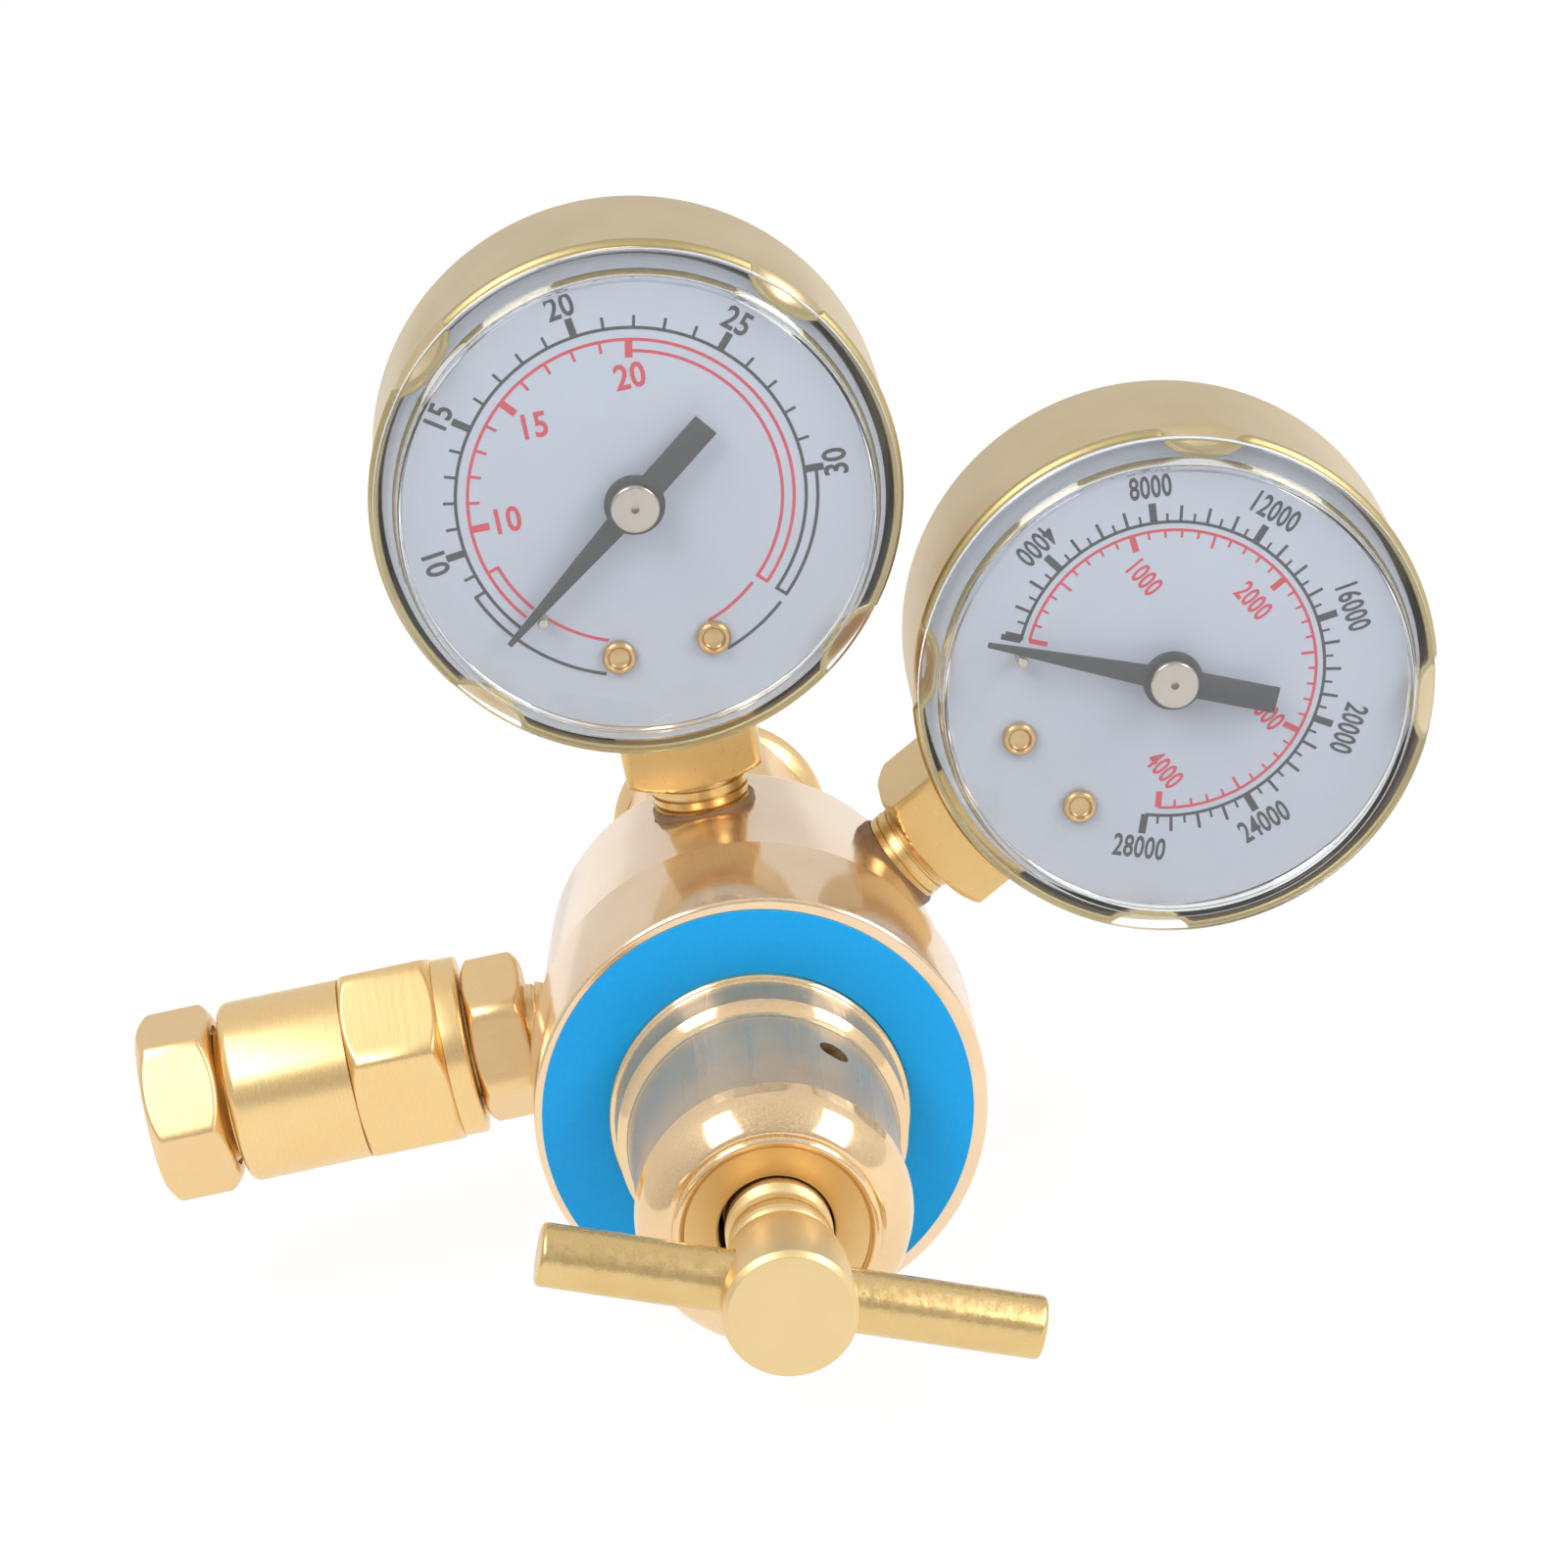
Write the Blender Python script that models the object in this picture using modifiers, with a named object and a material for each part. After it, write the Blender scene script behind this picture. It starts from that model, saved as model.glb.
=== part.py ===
"""Two-gauge argon flowmeter regulator: brass body with bonnet and T-screw, flow gauge, pressure gauge,
outlet connector and inlet nut. +X right, -Y front, +Z up. The origin is the tip of the inlet nipple, on the
body's axis. Lengths are millimetres in the values below and metres in the scene."""

import math

import bmesh
import bpy
from mathutils import Matrix, Vector

MM = 0.001
GAP = 0.3
SEGMENTS = 44
BONNET_SEGMENTS = 36
FITTING_SEGMENTS = 24
SMALL_SEGMENTS = 16
HOLE_SEGMENTS = 12

# Regulator body, depths measured back from the label's front face
INLET_REACH = 93.0
FLANGE_R = 22.5
FLANGE_BACK_R = 22.0
FLANGE_DEPTH = 17.5
DRUM_BACK_R = 19.8
DRUM_DEPTH = 46.0
DRUM_ROUND = 1.6
BOSS_R = 11.0
BOSS_DEPTH = 49.5
LABEL_R = 21.4
LABEL_THICK = 0.3
FACE_DEPTH = LABEL_THICK + GAP
PORT_DEPTH = 35.0
PORT_FLOOR_R = 10.0
CHAMBER_R = 12.6
CHAMBER_FLOOR = 16.0
VALVE_ROOM_R = 5.5
VALVE_ROOM_FRONT = 26.0
INLET_THREAD_FRONT = 40.0
PASSAGE_R = 1.0
PASSAGE_OUT = 11.2

# Bonnet
BONNET_R = 14.7
BONNET_TAIL = 9.0
GROOVE_R = 14.05
SHOULDER_DEPTH = -7.0
WALL_R = 13.7
WALL_FRONT_R = 12.8
LIP_R = 13.35
LIP_DEPTH = -24.8
RIDGE_R = 9.4
NOSE_DEPTH = -30.2
CAVITY_FRONT = -22.6
CAVITY_R = 11.4
CAVITY_BACK_R = 12.4
VENT_R = 1.6
VENT_DEPTH = -12.2
VENT_ANGLE = 40.7

# Adjusting screw and bar
SCREW_R = 5.0
SCREW_PITCH = 1.0
SCREW_TIP = -15.0
HEAD_R = 6.4
HEAD_BACK = -37.2
HEAD_FRONT = -48.7
BAR_R = 3.0
BAR_LENGTH = 47.6
BAR_OFF_CENTRE = 0.4
BAR_DEPTH = -43.0
BAR_ANGLE = 22.0

# Spring stack and valve
BUTTON_R = 9.6
BUTTON_THICK = 3.0
SPRING_WIRE_R = 1.1
SPRING_R = 7.9
SPRING_TURNS = 4.5
PILOT_R = 5.6
PILOT_LENGTH = 2.0
PLATE_THICK = 2.2
DIAPHRAGM_THICK = 1.0
NOZZLE_R = 4.0
NOZZLE_BORE_R = 1.5
PIN_R = 0.8
POPPET_R = 3.4
POPPET_LENGTH = 5.0
CLOSING_WIRE_R = 0.4
CLOSING_SPRING_R = 2.6
CLOSING_TURNS = 4.0

# Inlet
NIPPLE_THREAD_R = 7.6
NIPPLE_R = 7.0
NIPPLE_BORE_R = 1.6
FILTER_R = 4.0
FILTER_LENGTH = 8.0
COLLAR_R = 9.3
COLLAR_THICK = 3.5
NOSE_LENGTH = 9.5
NOSE_R = 7.9
INLET_NUT_FLATS = 22.4
INLET_HEX_LENGTH = 13.0
INLET_THREAD_R = 12.0
INLET_THREAD_LENGTH = 7.5
INLET_NUT_PAST_COLLAR = 3.0

# Outlet, distances to the left of the body's axis
OUTLET_THREAD_R = 5.0
ADAPTER_FLATS = 15.4
ADAPTER_HEX_IN = 22.5
ADAPTER_HEX_OUT = 28.6
ADAPTER_HEX_TURN = -18.0
SPIGOT_R = 5.5
SPIGOT_OUT = 37.5
CONNECTOR_COLLAR_R = 9.3
CONNECTOR_COLLAR_THICK = 2.4
CONNECTOR_FLATS = 19.0
CONNECTOR_HEX_OUT = 41.3
CONNECTOR_HEX_TURN = 22.0
BARREL_R = 9.45
BARREL_OUT = 54.2
HOSE_THREAD_R = 7.1
HOSE_THREAD_LENGTH = 5.2
OUTLET_BORE_R = 3.0
ORIFICE_DEPTH = 47.0
ORIFICE_THICK = 1.6
HOSE_BORE_R = 5.0
OUTLET_NUT_FLATS = 17.5
OUTLET_NUT_STANDOFF = 0.8
OUTLET_NUT_LENGTH = 7.8
OUTLET_NUT_WALL = 1.9
WASHER_THICK = 0.9
WASHER_STANDOFF = 0.3

# Gauges, distances outward from the body's axis and depths as above
GAUGE_OUT = 56.9
GAUGE_R = 26.3
CASE_WALL = 0.7
CASE_FRONT = 23.5
CASE_BACK = 46.4
CASE_ROUND = 2.4
STAKE_ANGLES = (45, 135, 225, 315)
STAKE_REACH = 1.9
STAKE_CURVE_R = 4.75
STAKE_THICK = 0.5
LENS_FRONT = 20.9
LENS_BACK = 24.4
LENS_THICK = 1.0
LENS_RIM_ROUND = 0.9
LENS_WINDOW_R = 22.6
LENS_GROOVE_R = 25.0
LENS_GROOVE = 0.7
DIAL_FRONT = 26.8
DIAL_THICK = 0.6
DIAL_R = 24.8
RIVET_PLACE = (4.8, -15.8)
RIVET_R = 1.7
RIVET_SHANK_R = 0.8
POINTER_FRONT = 24.1
POINTER_THICK = 0.5
POINTER_DISC_R = 3.05
POINTER_LENGTH = 18.6
POINTER_TAIL = 10.8
POINTER_TAIL_WIDTH = 2.7
POINTER_NECK_WIDTH = 2.2
POINTER_TIP_WIDTH = 0.5
CAP_R = 2.45
CAP_FRONT = 22.6
CAP_THICK = 1.2
BUSH_R = 1.0
ARBOR_R = 0.5
STOP_PLACE_R = 15.3
STOP_R = 0.45
STOP_ANGLE = 221.7
SOCKET_SIDE = 14.0
SOCKET_CORNER_R = 9.4
SOCKET_IN = 25.0
SOCKET_LUG_IN = 33.6
SOCKET_LUG_R = 6.2
SOCKET_LUG_OUT = 40.0
STEM_R = 5.1
TUBE_R = 18.5
TUBE_THICK = 3.0
TUBE_WIDTH = 9.0
TUBE_START = -69.5
TUBE_END = 195.0
FRAME_PLATE = 0.8
FRAME_GAP = 5.1
PINION_R = 1.5
SECTOR_R = 12.0
SECTOR_THICK = 1.0
POINTER_REST = 217.4
PRESSURE_SUNK = 0.7
GAUGES = (("flow", 0.0, 0.0), ("pressure", 61.2, PRESSURE_SUNK))


def clear_scene():
    for obj in list(bpy.data.objects):
        bpy.data.objects.remove(obj, do_unlink=True)


def material(name, colour, rough, metal):
    mat = bpy.data.materials.new(name)
    mat.use_nodes = True
    shader = mat.node_tree.nodes["Principled BSDF"]
    shader.inputs["Base Color"].default_value = (*colour, 1.0)
    shader.inputs["Roughness"].default_value = rough
    shader.inputs["Metallic"].default_value = metal
    return mat


def y_of(depth):
    """World Y, in millimetres, of a depth behind the label."""
    return depth - INLET_REACH


def add(name, mesh, mat, matrix=Matrix.Identity(4), collection=None):
    obj = bpy.data.objects.new(name, mesh)
    obj.matrix_world = matrix
    (collection or parts).objects.link(obj)
    if mat:
        mesh.materials.append(mat)
    mesh.shade_smooth()
    mesh.set_sharp_from_angle(angle=math.radians(35))
    return obj


def cutter(name, mesh, matrix=Matrix.Identity(4)):
    obj = add(name, mesh, None, matrix, cutters)
    obj.hide_render = True
    obj.display_type = "WIRE"
    return obj


def boolean(obj, other, operation="DIFFERENCE"):
    mod = obj.modifiers.new(other.name, "BOOLEAN")
    mod.operation = operation
    mod.object = other
    return mod


# Axes for turned pieces: the profile's axial value runs along the local Z axis
def along_depth(x=0.0, z=0.0):
    """Local Z runs to the back, from the label's face."""
    return Matrix.Translation(Vector((x, y_of(0), z)) * MM) @ Matrix.Rotation(-math.pi / 2, 4, "X")


def along_left():
    """Local Z runs to the left from the body's axis, at the depth of the ports."""
    return Matrix.Translation(Vector((0, y_of(PORT_DEPTH), 0)) * MM) @ Matrix.Rotation(-math.pi / 2, 4, "Y")


def along_gauge(angle, sunk=0.0):
    """Local Z runs outward from the body's axis to a gauge, at the depth of the ports. A gauge that is screwed
    in deeper than the other is sunk by some millimetres."""
    place = Matrix.Translation(Vector((0, y_of(PORT_DEPTH), 0)) * MM)
    return place @ Matrix.Rotation(math.radians(angle), 4, "Y") @ Matrix.Translation((0, 0, -sunk * MM))


def gauge_axis(angle, sunk):
    """Local Z runs to the back through the middle of a gauge, and local -Y points away from the stem."""
    turn = Matrix.Rotation(math.radians(angle), 4, "Y")
    return turn @ along_depth(0, GAUGE_OUT - sunk)


def profile_mesh(name, points, closed):
    bm = bmesh.new()
    verts = [bm.verts.new((r * MM, 0, z * MM)) for r, z in points]
    for a, b in zip(verts, verts[1:] + verts[:1] if closed else verts[1:]):
        bm.edges.new((a, b))
    mesh = bpy.data.meshes.new(name)
    bm.to_mesh(mesh)
    bm.free()
    return mesh


def turned(name, points, mat, matrix, steps=SEGMENTS, collection=None):
    """A turned piece. Its outline runs down the outer side from high to low Z; an outline that starts and
    ends on the axis is solid, and any other is closed into a ring."""
    solid = points[0][0] == 0 and points[-1][0] == 0
    obj = add(name, profile_mesh(name, points, not solid), mat, matrix, collection)
    screw = obj.modifiers.new("turn", "SCREW")
    screw.axis = "Z"
    screw.steps = steps
    screw.render_steps = steps
    screw.use_merge_vertices = True
    screw.merge_threshold = 0.00001
    screw.use_smooth_shade = True
    return obj


def arc(cr, cz, radius, start, end, steps):
    """Points of an arc in a profile; 0 degrees points away from the axis and 90 to high Z."""
    turns = [math.radians(start + (end - start) * k / steps) for k in range(steps + 1)]
    return [(cr + radius * math.cos(t), cz + radius * math.sin(t)) for t in turns]


def prism(sides, flats, low, high, turn=0.0):
    """A prism about local Z, with a flat at the given turn from local X."""
    bm = bmesh.new()
    corner = flats / 2 / math.cos(math.pi / sides)
    bmesh.ops.create_cone(bm, cap_ends=True, segments=sides, radius1=corner * MM, radius2=corner * MM,
                          depth=(high - low) * MM)
    middle = Matrix.Translation((0, 0, (high + low) / 2 * MM))
    first = math.radians(turn) + math.pi / sides - math.pi / 2
    bmesh.ops.transform(bm, matrix=middle @ Matrix.Rotation(first, 4, "Z"), verts=bm.verts)
    mesh = bpy.data.meshes.new("prism")
    bm.to_mesh(mesh)
    bm.free()
    return mesh


def rod(radius, low, high, segments=SMALL_SEGMENTS):
    bm = bmesh.new()
    bmesh.ops.create_cone(bm, cap_ends=True, segments=segments, radius1=radius * MM, radius2=radius * MM,
                          depth=(high - low) * MM)
    bmesh.ops.translate(bm, vec=(0, 0, (high + low) / 2 * MM), verts=bm.verts)
    mesh = bpy.data.meshes.new("rod")
    bm.to_mesh(mesh)
    bm.free()
    return mesh


def plate_outline(name, outlines, thick, mat, matrix):
    """A flat plate in the local XY plane, centred on it, from closed outlines; later outlines are holes."""
    curve = bpy.data.curves.new(name, "CURVE")
    curve.dimensions = "2D"
    curve.fill_mode = "BOTH"
    curve.extrude = thick / 2 * MM
    for outline in outlines:
        spline = curve.splines.new("POLY")
        spline.points.add(len(outline) - 1)
        for point, (x, y) in zip(spline.points, outline):
            point.co = (x * MM, y * MM, 0, 1)
        spline.use_cyclic_u = True
    return mesh_of_curve(name, curve, mat, matrix)


def mesh_of_curve(name, curve, mat, matrix):
    """The curve as a mesh object with its caps welded."""
    guide = bpy.data.objects.new(name + "_guide", curve)
    parts.objects.link(guide)
    guide.matrix_world = matrix
    bpy.context.view_layer.update()
    graph = bpy.context.evaluated_depsgraph_get()
    mesh = bpy.data.meshes.new_from_object(guide.evaluated_get(graph))
    bm = bmesh.new()
    bm.from_mesh(mesh)
    bmesh.ops.remove_doubles(bm, verts=bm.verts, dist=0.000001)
    bmesh.ops.recalc_face_normals(bm, faces=bm.faces)
    bm.to_mesh(mesh)
    bm.free()
    bpy.data.objects.remove(guide, do_unlink=True)
    return add(name, mesh, mat, matrix)


def circle(radius, steps, x=0.0, y=0.0):
    turns = [2 * math.pi * k / steps for k in range(steps)]
    return [(x + radius * math.cos(t), y + radius * math.sin(t)) for t in turns]


def coil(name, radius, wire, turns, low, high, mat):
    """A compression spring on the body's axis between two depths, with its end turns closed."""
    curve = bpy.data.curves.new(name, "CURVE")
    curve.dimensions = "3D"
    curve.bevel_depth = wire * MM
    curve.bevel_resolution = 1 if wire > 1 else 0
    curve.use_fill_caps = True
    spline = curve.splines.new("POLY")
    count = round(turns * 12)
    spline.points.add(count)
    start, end = low + GAP + wire, high - GAP - wire
    for k, point in enumerate(spline.points):
        share = k / count
        turn = 2 * math.pi * turns * share
        rise = min(max((share * turns - 0.5) / (turns - 1), 0), 1)
        rise = start + (end - start) * rise
        point.co = (radius * math.cos(turn) * MM, radius * math.sin(turn) * MM, rise * MM, 1)
    return mesh_of_curve(name, curve, mat, along_depth())


def hexagon(name, points, flats, low, high, turn, mat, matrix, steps=FITTING_SEGMENTS):
    """A turned blank with a hexagon milled on it between two heights."""
    blank = turned(name, points, mat, matrix, steps)
    corner = flats / 2 / math.cos(math.pi / 6)
    scrap = cutter(name + "_scrap", rod(corner + 6, low, high, HOLE_SEGMENTS), matrix)
    keep = cutter(name + "_hexagon", prism(6, flats, low - 1, high + 1, turn), matrix)
    boolean(scrap, keep)
    boolean(blank, scrap)
    return blank


def make_body():
    ledge = BONNET_TAIL + DIAPHRAGM_THICK + 2 * GAP
    bore = BONNET_R + GAP
    outside = [(BOSS_R - 0.8, BOSS_DEPTH), (BOSS_R, BOSS_DEPTH - 0.8), (BOSS_R, DRUM_DEPTH)]
    outside += arc(DRUM_BACK_R - DRUM_ROUND, DRUM_DEPTH - DRUM_ROUND, DRUM_ROUND, 90, 5, 3)
    outside += [(FLANGE_BACK_R, FLANGE_DEPTH), (FLANGE_R, FACE_DEPTH + 0.7)]
    outside += [(FLANGE_R - 0.7, FACE_DEPTH)]
    inside = [(bore, FACE_DEPTH), (bore, ledge), (CHAMBER_R, ledge), (CHAMBER_R, CHAMBER_FLOOR),
              (NOZZLE_R + GAP, CHAMBER_FLOOR), (NOZZLE_R + GAP, VALVE_ROOM_FRONT - 1.5),
              (NOZZLE_BORE_R + 1, VALVE_ROOM_FRONT - 1.5), (NOZZLE_BORE_R + 1, VALVE_ROOM_FRONT),
              (VALVE_ROOM_R, VALVE_ROOM_FRONT), (VALVE_ROOM_R, INLET_THREAD_FRONT),
              (NIPPLE_THREAD_R + GAP, INLET_THREAD_FRONT), (NIPPLE_THREAD_R + GAP, BOSS_DEPTH)]
    body = turned("body", outside + inside, polished, along_depth())
    for name, frame in (("flow", along_gauge(0)), ("pressure", along_gauge(GAUGES[1][1])), ("outlet", along_left())):
        port = cutter(name + "_port", rod(STEM_R + GAP, PORT_FLOOR_R, FLANGE_R + 2, FITTING_SEGMENTS), frame)
        boolean(body, port)
    for name, x, z in (("flow", 0, PASSAGE_OUT), ("outlet", -PASSAGE_OUT, 0)):
        way = cutter(name + "_passage", rod(PASSAGE_R, CHAMBER_FLOOR - 2, PORT_DEPTH, HOLE_SEGMENTS), along_depth(x, z))
        boolean(body, way)
    way = cutter("pressure_passage", rod(PASSAGE_R, VALVE_ROOM_R - 1.5, PORT_FLOOR_R + 1, HOLE_SEGMENTS),
                 along_gauge(GAUGES[1][1]))
    boolean(body, way)


def make_bonnet():
    outside = [(BONNET_R - 0.8, BONNET_TAIL), (BONNET_R, BONNET_TAIL - 0.8), (BONNET_R, -0.4)]
    outside += arc(BONNET_R - 0.6, -1.0, 0.6, 0, -80, 2)
    outside += [(GROOVE_R, -2.2), (GROOVE_R, SHOULDER_DEPTH + 0.2)]
    outside += arc(GROOVE_R - 1.35, SHOULDER_DEPTH - 1.5, 1.5, 70, 0, 3)
    outside += [(WALL_R, SHOULDER_DEPTH - 3.4), (WALL_FRONT_R, LIP_DEPTH + 0.6)]
    outside += arc(LIP_R - 0.7, LIP_DEPTH, 0.7, 50, -20, 2)
    dome = 5.2
    outside += arc(LIP_R - dome - 0.2, LIP_DEPTH - 0.1, dome, -16, -72, 4)
    outside += [(RIDGE_R, NOSE_DEPTH + 0.1), (RIDGE_R - 0.4, NOSE_DEPTH)]
    bore = SCREW_R + GAP
    inside = [(RIDGE_R - 0.9, NOSE_DEPTH + 0.4), (bore + 0.8, NOSE_DEPTH - 0.2), (bore, NOSE_DEPTH + 0.4),
              (bore, CAVITY_FRONT), (CAVITY_R - 1.5, CAVITY_FRONT), (CAVITY_R, CAVITY_FRONT + 1.5),
              (CAVITY_BACK_R, BONNET_TAIL)]
    bonnet = turned("bonnet", outside + inside, polished, along_depth(), BONNET_SEGMENTS)
    side = Matrix.Rotation(math.radians(VENT_ANGLE), 4, "Y") @ Matrix.Translation((0, y_of(VENT_DEPTH) * MM, 0))
    boolean(bonnet, cutter("vent", rod(VENT_R, CAVITY_R - 3, WALL_R + 3), side))
    ring = [(LABEL_R, LABEL_THICK), (LABEL_R, 0), (BONNET_R + GAP + 0.1, 0), (BONNET_R + GAP + 0.1, LABEL_THICK)]
    turned("label_ring", ring, blue, along_depth(), SEGMENTS)


def make_screw():
    chamfer = 0.9
    points = [(0, SCREW_TIP), (SCREW_R * 0.5, SCREW_TIP), (SCREW_R, SCREW_TIP - 1.6), (SCREW_R, HEAD_BACK + 0.4),
              (HEAD_R, HEAD_BACK - 1.0), (HEAD_R, HEAD_FRONT + chamfer), (HEAD_R - chamfer, HEAD_FRONT),
              (0, HEAD_FRONT)]
    screw = turned("adjusting_screw", points, satin, along_depth(), FITTING_SEGMENTS)
    across = Matrix.Translation(Vector((0, y_of(BAR_DEPTH), 0)) * MM)
    across = across @ Matrix.Rotation(math.radians(90 + BAR_ANGLE), 4, "Y")
    boolean(screw, cutter("bar_hole", rod(BAR_R + GAP, -HEAD_R - 2, HEAD_R + 2), across))
    end, tail = BAR_OFF_CENTRE + BAR_LENGTH / 2, BAR_OFF_CENTRE - BAR_LENGTH / 2
    bar = [(0, end), (BAR_R - 0.6, end), (BAR_R, end - 0.6), (BAR_R, tail + 0.6), (BAR_R - 0.6, tail), (0, tail)]
    turned("tee_bar", bar, satin, across, SMALL_SEGMENTS)


def make_spring_stack():
    front = SCREW_TIP + GAP
    back = front + BUTTON_THICK
    button = [(0, back + PILOT_LENGTH), (PILOT_R, back + PILOT_LENGTH), (PILOT_R, back), (BUTTON_R, back),
              (BUTTON_R, front + 1.2), (BUTTON_R - 1.2, front), (0, front)]
    turned("spring_button", button, steel, along_depth(), FITTING_SEGMENTS)
    seat = BONNET_TAIL - PLATE_THICK
    coil("main_spring", SPRING_R, SPRING_WIRE_R, SPRING_TURNS, back, seat, steel)
    plate = [(0, BONNET_TAIL), (BUTTON_R, BONNET_TAIL), (BUTTON_R, seat), (PILOT_R, seat),
             (PILOT_R, seat - PILOT_LENGTH), (0, seat - PILOT_LENGTH)]
    turned("diaphragm_plate", plate, satin, along_depth(), FITTING_SEGMENTS)
    skin = BONNET_TAIL + GAP
    disc = [(0, skin + DIAPHRAGM_THICK), (BONNET_R - 0.3, skin + DIAPHRAGM_THICK), (BONNET_R - 0.3, skin), (0, skin)]
    turned("diaphragm", disc, rubber, along_depth(), FITTING_SEGMENTS)


def make_valve():
    skin = BONNET_TAIL + DIAPHRAGM_THICK + 2 * GAP
    front = VALVE_ROOM_FRONT - 1.5 - GAP
    seat = NOZZLE_BORE_R + 0.7
    nozzle = [(seat, VALVE_ROOM_FRONT), (seat, front), (NOZZLE_R, front), (NOZZLE_R, CHAMBER_FLOOR),
              (NOZZLE_BORE_R, CHAMBER_FLOOR), (NOZZLE_BORE_R, VALVE_ROOM_FRONT)]
    turned("valve_nozzle", nozzle, steel, along_depth(), SMALL_SEGMENTS)
    face = VALVE_ROOM_FRONT + GAP
    back = face + POPPET_LENGTH
    hold = CLOSING_SPRING_R - CLOSING_WIRE_R - GAP
    poppet = [(0, back + 1.6), (hold, back + 1.6), (hold, back), (POPPET_R, back), (POPPET_R, face), (PIN_R, face),
              (PIN_R, skin), (0, skin)]
    turned("valve_poppet", poppet, steel, along_depth(), SMALL_SEGMENTS)
    coil("poppet_spring", CLOSING_SPRING_R, CLOSING_WIRE_R, CLOSING_TURNS, back, INLET_THREAD_FRONT + GAP, steel)


def make_inlet():
    start = INLET_THREAD_FRONT + GAP
    collar_end = INLET_REACH - NOSE_LENGTH
    collar = collar_end - COLLAR_THICK
    nose = arc(NOSE_R - 5.0, collar_end + 4.5, 5.0, 90, 0, 4)
    stop = (INLET_REACH - collar_end - 4.5) / 5.0
    nose = [(r, collar_end + 4.5 + (z - collar_end - 4.5) * stop) for r, z in nose]
    outside = [(NIPPLE_BORE_R, INLET_REACH)] + nose + [(NOSE_R, collar_end), (COLLAR_R, collar_end)]
    outside += [(COLLAR_R, collar), (NIPPLE_R, collar), (NIPPLE_R, BOSS_DEPTH + 3.0 + GAP)]
    outside += [(COLLAR_R, BOSS_DEPTH + 3.0), (COLLAR_R, BOSS_DEPTH + GAP), (NIPPLE_THREAD_R, BOSS_DEPTH + GAP)]
    outside += [(NIPPLE_THREAD_R, start)]
    cup = FILTER_R + GAP
    inside = [(cup, start), (cup, start + FILTER_LENGTH + GAP), (NIPPLE_BORE_R, start + FILTER_LENGTH + GAP)]
    turned("inlet_nipple", outside + inside, satin, along_depth(), FITTING_SEGMENTS)
    ring = [(FILTER_R, start + FILTER_LENGTH), (FILTER_R, start), (0, start)]
    turned("inlet_filter", [(0, start + FILTER_LENGTH)] + ring, bronze, along_depth(), SMALL_SEGMENTS)
    corner = INLET_NUT_FLATS / 2 / math.cos(math.pi / 6) - 0.25
    back = collar_end + INLET_NUT_PAST_COLLAR
    hex_back = back - INLET_THREAD_LENGTH
    hex_front = hex_back - INLET_HEX_LENGTH
    shelf = collar - GAP
    blank = [(INLET_THREAD_R - 1.0, back), (INLET_THREAD_R, back - 1.0), (INLET_THREAD_R, hex_back),
             (corner - 1.2, hex_back - 0.01), (corner, hex_back - 1.2), (corner, hex_front + 1.2),
             (corner - 1.8, hex_front), (NIPPLE_R + GAP, hex_front), (NIPPLE_R + GAP, shelf), (COLLAR_R + GAP, shelf),
             (COLLAR_R + GAP, back)]
    hexagon("inlet_nut", blank, INLET_NUT_FLATS, hex_front - 1, hex_back - 0.005, 90, satin, along_depth())


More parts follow.
